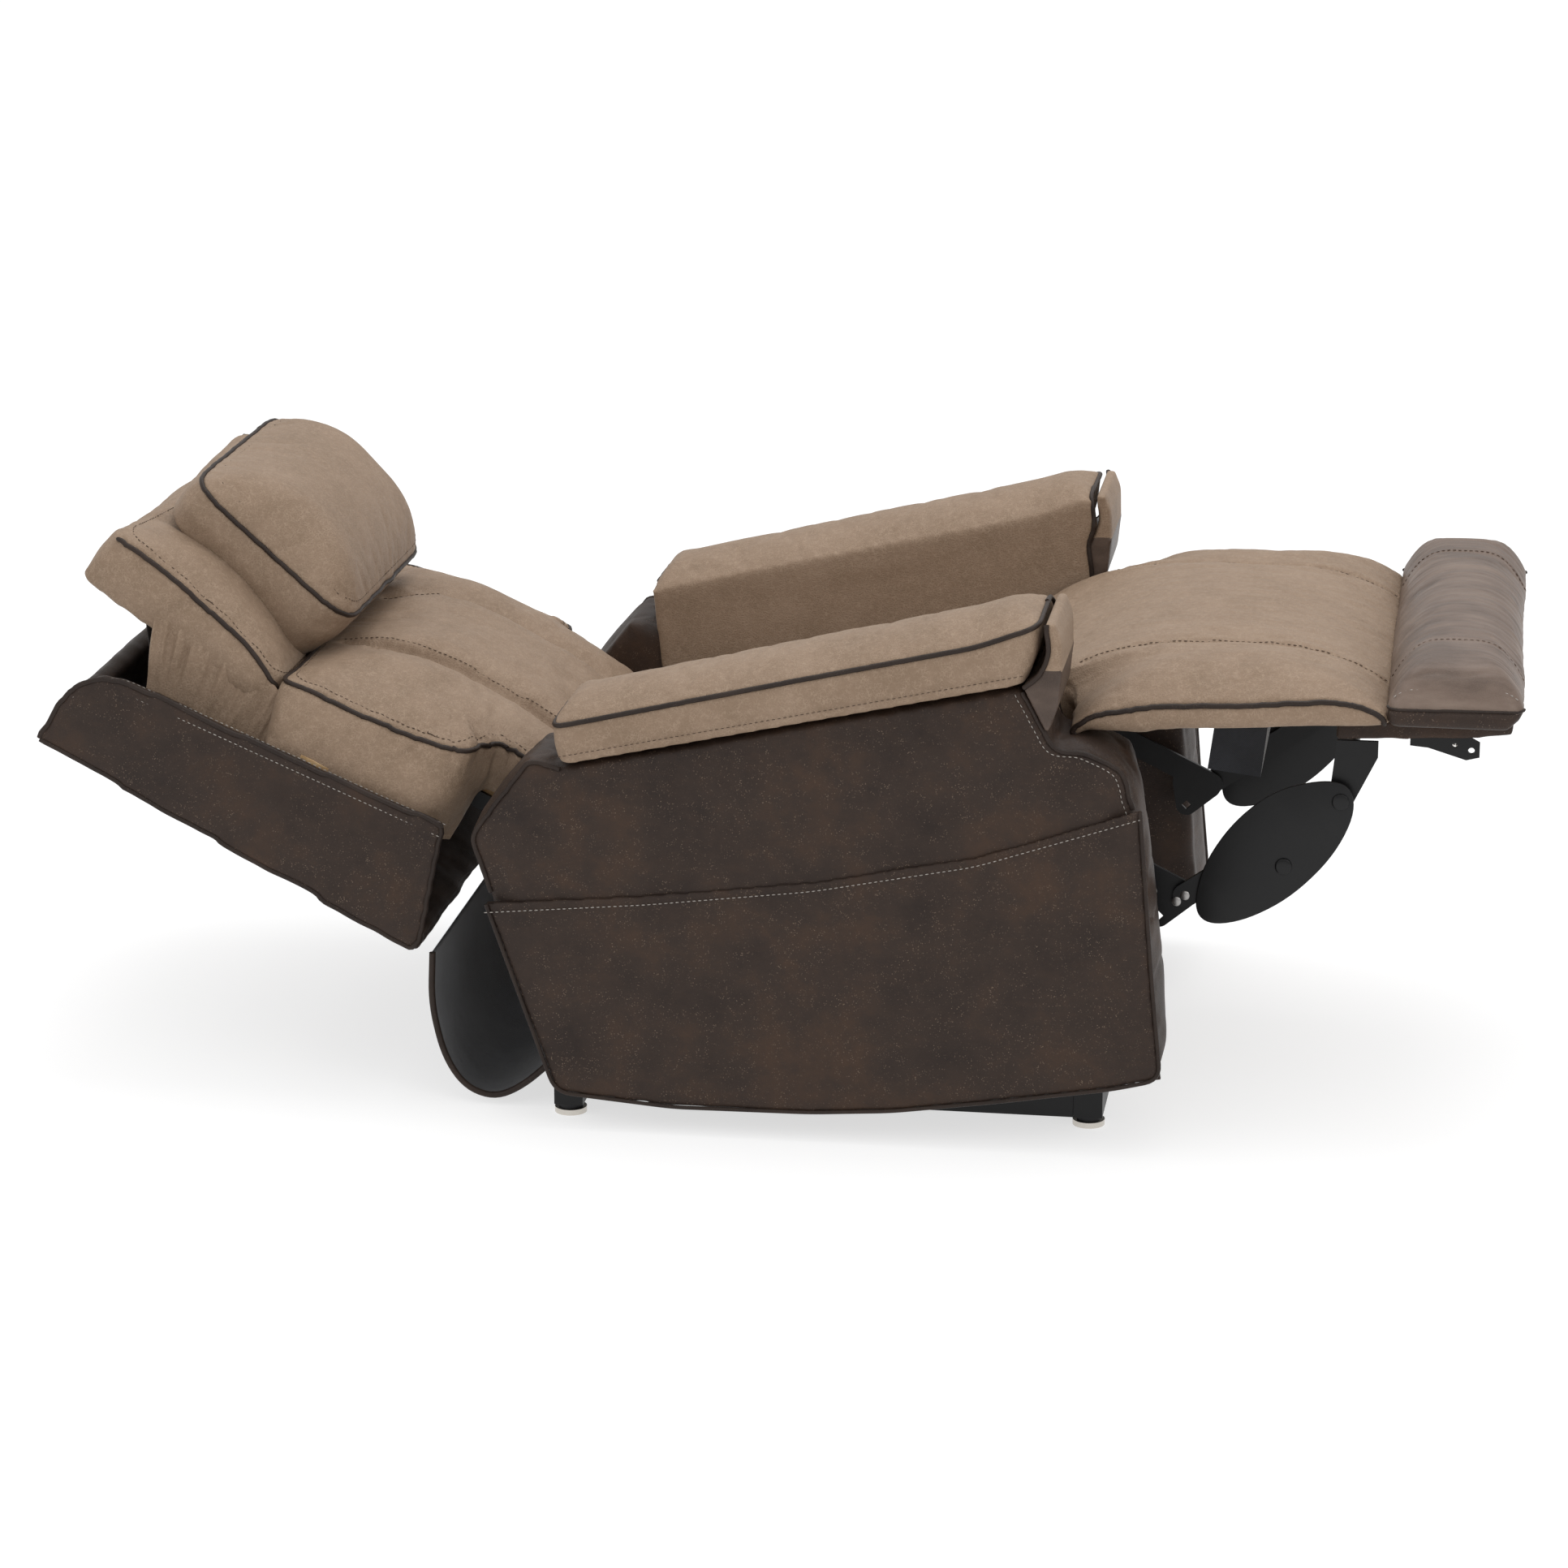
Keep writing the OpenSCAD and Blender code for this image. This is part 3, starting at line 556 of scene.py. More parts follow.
def joined(name, pieces):
    bpy.ops.object.select_all(action="DESELECT")
    for piece in pieces:
        piece.select_set(True)
    bpy.context.view_layer.objects.active = pieces[0]
    bpy.ops.object.join()
    pieces[0].name = name
    pieces[0].data.name = name
    return pieces[0]


print("mesh helpers ready")

# %% [markdown]
# ## Stuffed covers
# A boxed cushion is a rim that carries the piping, a crowned face inside it and a band below it.
# The closed form is remeshed evenly, and then Cloth fills it with a little pressure while the
# seams and the underside are held, so the leather swells and puckers against its own stitching.

# %% Cushion maker


def boxed(name, rim, spine, under, finish, swell=2.4, bulge=0.004, rings=14):
    centre = rim.mean(0)
    target = np.array([spine(p) for p in rim])
    low = np.array([under(p) for p in rim])
    loops = []
    for k in range(1, rings + 1):
        t = k / rings
        flat = rim + (target - rim) * t
        flat[:, 2] = rim[:, 2] + (target[:, 2] - rim[:, 2]) * (1 - (1 - t) ** swell)
        loops.append(flat)
    outward = rim[:, :2] - centre[:2]
    outward /= np.linalg.norm(outward, axis=1)[:, None]
    middle = (rim + low) / 2
    middle[:, :2] += outward * bulge
    base = low + (low.mean(0) - low) * 0.995
    stack = [base, low, middle, rim, *loops]
    count = len(rim)
    faces = [
        [row * count + i, row * count + (i + 1) % count, (row + 1) * count + (i + 1) % count,
        (row + 1) * count + i]
        for row in range(len(stack) - 1)
        for i in range(count)
    ]
    piece = piece_from(name, np.vstack(stack), faces, finish)
    form = bmesh.new()
    form.from_mesh(piece.data)
    bmesh.ops.remove_doubles(form, verts=form.verts, dist=0.0008)
    bmesh.ops.holes_fill(form, edges=[e for e in form.edges if e.is_boundary], sides=0)
    bmesh.ops.recalc_face_normals(form, faces=form.faces)
    form.to_mesh(piece.data)
    form.free()
    return piece


def nearness(points, line, flat=False):
    tree = kdtree.KDTree(len(line))
    for i, p in enumerate(line):
        tree.insert((p[0], p[1], 0 if flat else p[2]), i)
    tree.balance()
    found = [tree.find((p[0], p[1], 0 if flat else p[2])) for p in points]
    return np.array([f[2] for f in found]), np.array([f[1] for f in found])


def stuff(piece, held_lines, held_below, cap=0.024, pressure=4.0, give=-0.008, hold=0.007):
    points = points_of(piece)
    away, _ = nearness(points, np.vstack(held_lines))
    held = (away < hold) | held_below(points)
    group = piece.vertex_groups.new(name="held")
    group.add([int(i) for i in np.nonzero(held)[0]], 1, "REPLACE")
    cloth = piece.modifiers.new("stuffing", "CLOTH")
    sewn = cloth.settings
    sewn.quality = 3
    sewn.mass = 0.3
    sewn.tension_stiffness = sewn.compression_stiffness = 14
    sewn.shear_stiffness = 5
    sewn.bending_stiffness = 0.8
    sewn.use_pressure = True
    sewn.uniform_pressure_force = pressure
    sewn.vertex_group_mass = "held"
    sewn.shrink_min = give
    sewn.effector_weights.gravity = 0
    cloth.collision_settings.use_collision = False
    cloth.point_cache.frame_end = 20
    for step in range(1, 21):
        bpy.context.scene.frame_set(step)
    graph = bpy.context.evaluated_depsgraph_get()
    swollen = piece.evaluated_get(graph).to_mesh()
    after = np.empty(len(swollen.vertices) * 3, np.float32)
    swollen.vertices.foreach_get("co", after)
    move = after.reshape(-1, 3) - points
    size = np.linalg.norm(move, axis=1)
    move *= np.minimum(1, cap / np.maximum(size, 1e-9))[:, None]
    piece.modifiers.clear()
    piece.vertex_groups.clear()
    bpy.context.scene.frame_set(1)
    move_points(piece, points + move)
    print(piece.name, "points", len(points), "moved up to", round(float(size.max()) * 1000, 1), "mm")
    return piece


def groove(piece, lines, depth, width):
    points, normals = points_of(piece), normals_of(piece)
    away, _ = nearness(points, np.vstack(lines))
    push = depth * np.exp(-((away / width) ** 2))
    move_points(piece, points - normals * push[:, None])
    return piece


def folds(piece, line, reach, depth, pitch, seed=0):
    points, normals = points_of(piece), normals_of(piece)
    away, index = nearness(points, line)
    step = float(np.linalg.norm(np.diff(line, axis=0), axis=1).mean())
    wave = np.array([noise.noise((i * step / pitch, seed, 0)) + 0.4 * noise.noise((2.3 * i * step / pitch,
        seed + 7, 0)) for i in range(len(line))])
    fade = np.clip(1 - away / reach, 0, 1) ** 1.5
    wander = np.array([noise.noise(Vector(p) * 9 + Vector((seed, 0, 0))) for p in points])
    shift = np.clip((index + wander * 0.6 * pitch / step).astype(int), 0, len(line) - 1)
    move_points(piece, points + normals * (depth * fade * wave[shift])[:, None])
    return piece


def rumple(piece, height, size, seed=0, stretch=(1, 1, 1)):
    points, normals = points_of(piece), normals_of(piece)
    scale = Vector(stretch)
    lift = np.array([noise.fractal(Vector((p[0] * scale.x, p[1] * scale.y,
        p[2] * scale.z)) / size + Vector((seed, 0, 0)), 0.6, 2.0, 3) for p in points])
    move_points(piece, points + normals * (height * lift)[:, None])
    return piece


def on_face(piece, line, lift=0.0):
    points = points_of(piece)
    tree = kdtree.KDTree(len(points))
    for i, p in enumerate(points):
        tree.insert((p[0], p[1], p[2] * 0.25), i)
    tree.balance()
    return np.array([(p[0], p[1], points[tree.find((p[0], p[1], p[2] * 0.25))[1]][2] + lift) for p in line])


def seated(piece, line, lift=0.0014):
    skin = BVHTree.FromPolygons([v.co for v in piece.data.vertices],
        [tuple(f.vertices) for f in piece.data.polygons])
    seats = []
    for p in line:
        spot, normal, _, _ = skin.find_nearest(Vector(p))
        seats.append(spot + normal * lift)
    return np.array(seats)


def between(*stops, spacing=0.006):
    return rounded(stops, 0.02, spacing, closed=False)


print("cushion maker ready")

# %% [markdown]
# ## Growing what repeats
# Piping, stitches, rivet heads and springs all follow a line or a set of places. Three Geometry
# Nodes trees are built here, for piping, stitches and rivets, with named inputs for their sizes; the
# springs reuse the piping tree, and each result is turned into a plain mesh at once.

# %% Node tree maker


class Growth:
    def __init__(self, name, **sizes):
        self.tree = bpy.data.node_groups.new(name, "GeometryNodeTree")
        face = self.tree.interface
        face.new_socket("Geometry", in_out="INPUT", socket_type="NodeSocketGeometry")
        face.new_socket("Geometry", in_out="OUTPUT", socket_type="NodeSocketGeometry")
        self.ids = {}
        for label, value in sizes.items():
            socket = face.new_socket(label, in_out="INPUT", socket_type="NodeSocketFloat")
            socket.default_value = value
            self.ids[label] = socket.identifier
        face.new_socket("Finish", in_out="INPUT", socket_type="NodeSocketMaterial")
        self.ids["Finish"] = [s for s in face.items_tree if s.name == "Finish"][0].identifier
        self.source = self.tree.nodes.new("NodeGroupInput")
        self.sink = self.tree.nodes.new("NodeGroupOutput")

    def size(self, label):
        return self.source.outputs[label]

    def add(self, kind, settings, sockets, output=0):
        node = self.tree.nodes.new(kind)
        for name, value in settings.items():
            setattr(node, name, value)
        for name, value in sockets.items():
            if isinstance(value, bpy.types.NodeSocket):
                self.tree.links.new(value, node.inputs[name])
            else:
                node.inputs[name].default_value = value
        return node.outputs[output]

    def end(self, geometry):
        whole = self.add("GeometryNodeRealizeInstances", {}, {"Geometry": geometry})
        dressed = self.add("GeometryNodeSetMaterial", {}, {"Geometry": whole, "Material": self.size("Finish")})
        smooth = self.add("GeometryNodeSetShadeSmooth", {}, {"Geometry": dressed})
        self.tree.links.new(smooth, self.sink.inputs["Geometry"])
        return self


def grow(name, growth, lines, finish, closed=False, **sizes):
    points, edges = [], []
    for line in lines:
        first = len(points)
        points += [tuple(map(float, p)) for p in line]
        edges += [(i, i + 1) for i in range(first, len(points) - 1)]
        if closed:
            edges.append((len(points) - 1, first))
    mesh = bpy.data.meshes.new(name)
    mesh.from_pydata(points, edges, [])
    seed = bpy.data.objects.new(name, mesh)
    bpy.context.scene.collection.objects.link(seed)
    modifier = seed.modifiers.new("growth", "NODES")
    modifier.node_group = growth.tree
    for label, value in sizes.items():
        modifier[growth.ids[label]] = value
    modifier[growth.ids["Finish"]] = finish
    bpy.context.view_layer.update()
    made = bpy.data.meshes.new_from_object(seed.evaluated_get(bpy.context.evaluated_depsgraph_get()))
    made.name = name
    seed.modifiers.clear()
    seed.data = made
    bpy.data.meshes.remove(mesh)
    if not made.materials:
        made.materials.append(finish)
    return seed


# %% Piping: a round cord in a strip of cover
piping = Growth("piping", Radius=0.004)
cord_line = piping.add("GeometryNodeMeshToCurve", {}, {"Mesh": piping.source.outputs["Geometry"]})
cord_ring = piping.add("GeometryNodeCurvePrimitiveCircle", {},
    {"Resolution": 8, "Radius": piping.size("Radius")})
piping.end(piping.add("GeometryNodeCurveToMesh", {},
    {"Curve": cord_line, "Profile Curve": cord_ring, "Fill Caps": True}))

# %% Stitches: small rounded bars along the seam
stitching = Growth("stitching", Pitch=0.0070, Length=0.0048, Thickness=0.0012)
seam_line = stitching.add("GeometryNodeMeshToCurve", {}, {"Mesh": stitching.source.outputs["Geometry"]})
seam_even = stitching.add("GeometryNodeResampleCurve", {"mode": "LENGTH"},
    {"Curve": seam_line, "Length": stitching.size("Pitch")})
seam_way = stitching.add("GeometryNodeInputTangent", {}, {})
seam_turn = stitching.add("FunctionNodeAlignRotationToVector", {"axis": "X"}, {"Vector": seam_way})
bead = stitching.add("GeometryNodeMeshUVSphere", {}, {"Segments": 6, "Rings": 4, "Radius": 0.5})
bead_size = stitching.add("ShaderNodeCombineXYZ", {},
    {"X": stitching.size("Length"), "Y": stitching.size("Thickness"), "Z": stitching.size("Thickness")})
bead_long = stitching.add("GeometryNodeTransform", {}, {"Geometry": bead, "Scale": bead_size})
stitching.end(stitching.add("GeometryNodeInstanceOnPoints", {},
    {"Points": seam_even, "Instance": bead_long, "Rotation": seam_turn}))

# %% Rivets: a low dome on a thin washer, facing the side
riveting = Growth("riveting", Radius=0.006, Height=0.003)
dome = riveting.add("GeometryNodeMeshUVSphere", {}, {"Segments": 20, "Rings": 8, "Radius": 1.0})
dome_size = riveting.add("ShaderNodeCombineXYZ", {},
    {"X": riveting.size("Radius"), "Y": riveting.size("Height"), "Z": riveting.size("Radius")})
dome_low = riveting.add("GeometryNodeTransform", {}, {"Geometry": dome, "Scale": dome_size})
rivet_places = riveting.add("GeometryNodeMeshToPoints", {}, {"Mesh": riveting.source.outputs["Geometry"]})
riveting.end(riveting.add("GeometryNodeInstanceOnPoints", {}, {"Points": rivet_places, "Instance": dome_low}))
print("trees", piping.tree.name, stitching.tree.name, riveting.tree.name)

# %% [markdown]
# ## Head pillow
# A firm boxed pillow stands on the headrest. Its piping runs round the crowned face, so the near
# side shows a band of cover below the piping.

# %% Head pillow
pillow_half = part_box("head_pillow")[1].y
pillow_corners = both_sides([(0.036, -pillow_half + 0.002, 0.117), (0.297, -pillow_half + 0.002, 0.089)])
pillow_rim = rounded(pillow_corners, 0.06)


def pillow_spine(p):
    return (0.160, float(np.clip(p[1], -0.135, 0.135)), 0.166)


def pillow_under(p):
    return (p[0] * 0.97 + 0.004, p[1] * 0.985, 0.03)


pillow = voxels(boxed("head_pillow_cover", pillow_rim, pillow_spine, pillow_under, tan_cover, 2.6, 0.005),
    0.0065)
stuff(pillow, [pillow_rim], lambda p: p[:, 2] < 0.05, 0.014, 4.0)
pillow = finer(pillow)
groove(pillow, [pillow_rim], 0.0025, 0.004)
folds(pillow, pillow_rim, 0.05, 0.0022, 0.03, 3)
print("pillow faces", len(pillow.data.polygons))

# %% [markdown]
# ## Headrest
# The headrest is a wide soft pad that wraps over its board and ends in a turned-down lip. Its
# piping runs along both sides, and the top end rounds over without any.

# %% Headrest pad
head_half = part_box("headrest_pad")[1].y
headrest_side_line = [(0.03, -head_half + 0.002, 0.030), (0.108, -head_half + 0.002, 0.036),
    (0.227, -head_half + 0.002, 0.022), (0.318, -head_half + 0.002, 0.003)]
headrest_corners = both_sides([*headrest_side_line, (0.300, -0.12, 0.004)])
headrest_rim = rounded(headrest_corners, 0.05)


def headrest_spine(p):
    return (0.170, float(np.clip(p[1], -0.235, 0.235)), 0.050)


def headrest_under(p):
    return (min(p[0], 0.300), p[1] * 0.99, -0.016 - 0.056 * max(0.0, (p[0] - 0.06) / 0.25))


headrest = voxels(boxed("headrest_cover", headrest_rim, headrest_spine, headrest_under, tan_cover, 2.2, 0.006),
    0.007)
stuff(headrest, [headrest_rim], lambda p: p[:, 2] < -0.01 - 0.05 * np.clip((p[:, 0] - 0.06) / 0.25, 0, 1),
    0.014, 4.0)
headrest = finer(headrest)
groove(headrest, [headrest_rim], 0.0025, 0.004)
folds(headrest, headrest_rim, 0.06, 0.003, 0.05, 5)
rumple(headrest, 0.002, 0.09, 2)
print("headrest faces", len(headrest.data.polygons))

# %% [markdown]
# ## Back cushion
# The back cushion is a T: narrow between the arms and wide above them. The middle panel stands
# proud of two side bolsters, with a sewn seam between, and one piping line goes round it all.

# %% Back cushion
wide = 0.326
narrow = seat_half - 0.006
back_corners = both_sides([
    (-0.008, -narrow, 0.060), (0.080, -narrow, 0.068), (0.112, -narrow - 0.004, 0.068), (0.128, -0.296, 0.066),
    (0.136, -wide, 0.062), (0.175, -wide, 0.052), (0.280, -wide, 0.041), (0.352, -wide, 0.039),
    (0.384, -wide + 0.006, 0.032),
])
back_rim = rounded(back_corners, 0.022)


def back_spine(p):
    return (0.185, float(np.clip(p[1], -0.17, 0.17)), 0.084)


def back_under(p):
    return (float(np.clip(p[0], 0.05, 0.36)) if p[0] < 0.05 or p[0] > 0.36 else p[0],
        p[1] * (0.99 if abs(p[1]) < 0.262 else 1.115), 0.004 if abs(p[1]) < 0.262 else -0.064)


CENTRE_SEAM_Y = 0.131  # the two seams of the middle panel, from the centre line

back_pad = voxels(boxed("back_cushion_cover", back_rim, back_spine, back_under, tan_cover, 2.0, 0.004, 16),
    0.007)


def back_form(points):
    u, y, w = points[:, 0], np.abs(points[:, 1]), points[:, 2]
    top = np.clip((w - 0.05) / 0.02, 0, 1)
    middle = 1 / (1 + np.exp((y - 0.128) / 0.006))
    crown = np.clip(1 - ((u - 0.19) / 0.215) ** 4, 0, 1)
    bolster = np.exp(-(((y - 0.2) / 0.05) ** 2))
    seam = np.exp(-(((y - CENTRE_SEAM_Y) / 0.008) ** 2))
    lift = crown * (middle * 0.014 + bolster * 0.010 - seam * 0.007)
    return points + np.stack([0 * u, 0 * u, top * lift], 1)


move_points(back_pad, back_form(points_of(back_pad)))
centre_seams = [between((0.01, side * CENTRE_SEAM_Y, 0.082), (0.30, side * CENTRE_SEAM_Y, 0.082),
    (0.355, side * 0.124, 0.06)) for side in (-1, 1)]
centre_seams = [on_face(back_pad, line) for line in centre_seams]
stuff(back_pad, [back_rim, *centre_seams], lambda p: p[:, 2] < np.where(np.abs(p[:, 1]) < 0.262, 0.012, -0.05),
    0.022, 4.0, -0.012)
back_pad = finer(back_pad)
groove(back_pad, [back_rim], 0.003, 0.004)
groove(back_pad, centre_seams, 0.005, 0.007)
for side in (-1, 1):
    notch = between((0.09, side * (narrow - 0.02), 0.07), (0.14, side * 0.295, 0.07),
        (0.20, side * 0.315, 0.06))
    folds(back_pad, notch, 0.07, 0.010, 0.022, 11)
    folds(back_pad, centre_seams[0 if side < 0 else 1], 0.035, 0.0022, 0.02, 13)
rumple(back_pad, 0.003, 0.11, 4)
back_stitches = [on_face(back_pad, [(p[0], p[1] - math.copysign(0.011, p[1]), 0.1) for p in line],
    0.0004) for line in centre_seams]
print("back cushion faces", len(back_pad.data.polygons))

# %% Place the head and back pieces with their piping and stitches
finished = []


def keep(piece, body, slot, fill=None, *nodes):
    if nodes:
        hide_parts(*nodes)
    if isinstance(body, str):
        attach(piece, body)
    finished.append(piece.name)
    return piece


def trim(name, lines, place, body, closed=False, radius=0.0031):
    cord = grow(name, piping, lines, piping_skin, closed, Radius=radius)
    return keep(placed(cord, place), body, "brown_upholstery")


def sew(name, lines, thread, place, body, slot="tan_upholstery", **sizes):
    stitches = grow(name, stitching, lines, thread, **sizes)
    return keep(placed(stitches, place), body, slot)


def shrunk(line, centre, inset):
    middle = np.array([centre[0], 0, 0])
    away = np.sign(line - middle)
    return line - away * (inset, inset, 0)


pillow_face = on_face(pillow, shrunk(pillow_rim, (0.168,), 0.011), 0.0005)
headrest_face = on_face(headrest, shrunk(headrest_rim, (0.175,), 0.011), 0.0005)
back_rim_top = on_face(back_pad, shrunk(back_rim, (0.185,), 0.011), 0.0005)
headrest_cord = between((0.004, -head_half + 0.003, 0.022), *headrest_side_line)
pillow_cord = seated(pillow, pillow_rim)
headrest_cords = [seated(headrest, headrest_cord), seated(headrest, headrest_cord * (1, -1, 1))]
back_cord = seated(back_pad, back_rim)
keep(placed(pillow, on_head), "headrest", "tan_upholstery", 0.8, "head_pillow")
keep(placed(headrest, on_head), "headrest", "tan_upholstery", 0.7, "headrest_pad")
trim("head_pillow_piping", [pillow_cord], on_head, "headrest", True)
trim("headrest_piping", headrest_cords, on_head, "headrest")
sew("head_pillow_stitches", [pillow_face], dark_thread, on_head, "headrest")
sew("headrest_stitches", [headrest_face], dark_thread, on_head, "headrest")
placed(back_pad, on_back)
keep(back_pad, "back", "tan_upholstery", 0.7, "back_cushion", "back_bolsters")
back_trim = trim("back_cushion_piping", [back_cord], on_back, "back", True)
back_sewn = sew("back_cushion_stitches", [*back_stitches, back_rim_top], dark_thread, on_back, "back")
for soft_back in (back_pad, back_trim, back_sewn):
    normal_out = Vector(on_back(0, 0, 1)) - Vector(on_back(0, 0, 0))
    on_back(0, 0, 0.0)
    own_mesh(soft_back)
print("placed", finished)

# %% [markdown]
# ## Seat cushion and chaise pad
# The seat is a sprung cushion between the arms. In front of the arms it widens into one long pad
# that runs out over the footrest and lies across the footrest hinge; that pad is attached to no body, so it
# does not bend with the hinge.

# %% Seat cushion
seat_corners = both_sides([(-0.176, -seat_half + 0.004, 0.382), (0.10, -seat_half + 0.004, 0.452),
    (0.368, -seat_half + 0.004, 0.546)])
seat_rim = rounded(seat_corners, 0.03)


def seat_spine(p):
    return (0.10, float(np.clip(p[1], -0.17, 0.17)), 0.482)


def seat_under(p):
    return (float(np.clip(p[0], -0.178, 0.345)), p[1],
        0.303 + (float(np.clip(p[0], -0.178, 0.345)) + 0.183) * 0.25)


seat = voxels(boxed("seat_cushion_cover", seat_rim, seat_spine, seat_under, tan_cover, 2.0, 0.0), 0.008)
stuff(seat, [seat_rim], lambda p: p[:, 2] < 0.345 + (p[:, 0] + 0.183) * 0.25, 0.02, 4.0)
seat = finer(seat)
groove(seat, [seat_rim], 0.003, 0.004)
folds(seat, seat_rim, 0.06, 0.004, 0.03, 17)
keep(seat, "carriage", "tan_upholstery", 0.7, "seat_cushion")
print("seat faces", len(seat.data.polygons))

# %% Chaise pad
chaise_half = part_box("footrest_pad")[1].y - 0.002
chaise_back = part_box("chaise_front")[0].x
chaise_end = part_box("footrest_pad")[1].x
chaise_corners = both_sides([
    (0.255, -seat_half + 0.006, 0.500), (chaise_back - 0.006, -seat_half + 0.004, 0.546),
    (chaise_back - 0.002, -0.280, 0.522), (chaise_back - 0.002, -chaise_half, 0.512),
    (0.398, -chaise_half, 0.534), (0.478, -chaise_half, 0.548), (0.577, -chaise_half, 0.553),
    (0.690, -chaise_half, 0.562), (0.728, -chaise_half, 0.556), (chaise_end + 0.004, -chaise_half, 0.545),
])
chaise_rim = rounded(chaise_corners, 0.016)


def chaise_spine(p):
    return (0.572, float(np.clip(p[1], -0.24, 0.24)), 0.592)


def chaise_under(p):
    start, stop = chaise_back + 0.004, chaise_end + 0.003
    x = float(np.clip(p[0], start, stop))
    low = 0.513 if x < 0.47 else 0.517 + (x - 0.477) * 0.0585
    return (x, p[1] * 0.996, min(low, p[2] - 0.012))


chaise = voxels(boxed("chaise_cover", chaise_rim, chaise_spine, chaise_under, tan_cover, 3.0, 0.003, 18), 0.007)
chaise_seams = [
    on_face(chaise, between((chaise_back + 0.004, side * 0.245, 0.55), (0.45, side * 0.215, 0.58),
    (0.572, side * 0.205, 0.59), (chaise_end - 0.006, side * 0.222, 0.57)))
    for side in (-1, 1)
]
stuff(chaise, [chaise_rim, *chaise_seams], lambda p: p[:, 2] < 0.5215 + np.clip(p[:, 0] - 0.477, 0, 1) * 0.0585,
    0.016, 3.0, -0.004)
chaise = finer(chaise)
groove(chaise, [chaise_rim], 0.003, 0.004)
groove(chaise, chaise_seams, 0.0035, 0.005)
end_line = between((chaise_end - 0.004, -chaise_half, 0.56), (chaise_end - 0.004, chaise_half, 0.56))
folds(chaise, end_line, 0.09, 0.0018, 0.03, 21)
root_line = between((chaise_back, -chaise_half, 0.54), (chaise_back, chaise_half, 0.54))
folds(chaise, root_line, 0.11, 0.004, 0.07, 23)
rumple(chaise, 0.0012, 0.05, 6, (0.7, 2.2, 1))
chaise_sewn = [on_face(chaise, [(p[0], p[1] - side * 0.004, p[2]) for p in line], 0.0005) for side,
    line in zip((-1, 1), chaise_seams)]


def across_footrest(piece):
    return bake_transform(piece)


chaise_cord = between(
    (0.380, -chaise_half, 0.500), (chaise_back - 0.003, -chaise_half, 0.511), (0.398, -chaise_half, 0.534),
    (0.478, -chaise_half, 0.548),
    (0.577, -chaise_half, 0.553), (0.690, -chaise_half, 0.562), (0.728, -chaise_half, 0.556),
    (chaise_end - 0.003, -chaise_half, 0.542), (chaise_end - 0.003, -chaise_half, 0.533),
)
chaise_trim = trim("chaise_piping", [seated(chaise, chaise_cord), seated(chaise, chaise_cord * (1, -1, 1))],
    on_seat, None, False, 0.0034)
chaise_thread = sew("chaise_stitches", chaise_sewn, dark_thread, on_seat, None)
keep(chaise, None, "tan_upholstery", 0.75, "chaise_front", "footrest_pad")
for across in (chaise, chaise_trim, chaise_thread):
    across_footrest(across)
print("chaise faces", len(chaise.data.polygons))

# %% [markdown]
# ## End roll
# The roll at the feet is gathered leather: many fine ruches run along the chair's length, two
# cross seams hold them, and each end is a plain boxed face with a pale topstitched edge.

# %% Ruched end roll
roll_low, roll_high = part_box("footrest_bolster")
roll_x = (roll_low.x - 0.004, roll_high.x)
roll_y = roll_high.y - 0.002
roll_corners = both_sides([(roll_x[0] + 0.003, -roll_y, 0.556), (roll_x[1] - 0.004, -roll_y, 0.558)])
roll_rim = rounded(roll_corners, 0.016, 0.005)


def roll_spine(p):
    return (float(np.clip(p[0], 0.815, 0.850)), float(np.clip(p[1], -0.30, 0.30)), 0.611)


def roll_under(p):
    return (p[0] - (0.010 if p[0] > 0.9 else 0), p[1], 0.534 if p[0] < 0.9 else 0.540)


roll = boxed("end_roll", roll_rim, roll_spine, roll_under, ruched_cover, 2.6, 0.004)
roll = voxels(roll, 0.006)
roll_ends = [np.array([p for p in roll_rim if p[1] * side > roll_y - 0.006]) for side in (-1, 1)]
roll_seams = [on_face(roll, between((roll_x[0] + 0.006, side * 0.235, 0.59), (0.83, side * 0.235, 0.61),
    (roll_x[1] - 0.006, side * 0.235, 0.59))) for side in (-1, 1)]
stuff(roll, roll_ends + roll_seams, lambda p: p[:, 2] < 0.545, 0.010, 2.5, -0.002, 0.006)
roll = finer(roll)
groove(roll, roll_seams, 0.0022, 0.004)
groove(roll, roll_ends, 0.002, 0.004)


def ruche(piece, depth, pitch):
    points, normals = points_of(piece), normals_of(piece)
    held = np.clip((roll_y - 0.006 - np.abs(points[:, 1])) / 0.02, 0, 1) * np.clip((points[:, 2] - 0.55) / 0.02,
        0, 1)
    lift = []
    for x, y, z in points:
        drift = 0.02 * noise.noise((x * 14, y * 3, 2.0))
        lift.append(noise.noise(((y + drift) / pitch, x * 7,
            z * 7)) + 0.5 * noise.noise(((y + drift) / pitch * 2.4, x * 16, z * 16)))
    move_points(piece, points + normals * (depth * held * np.array(lift))[:, None])


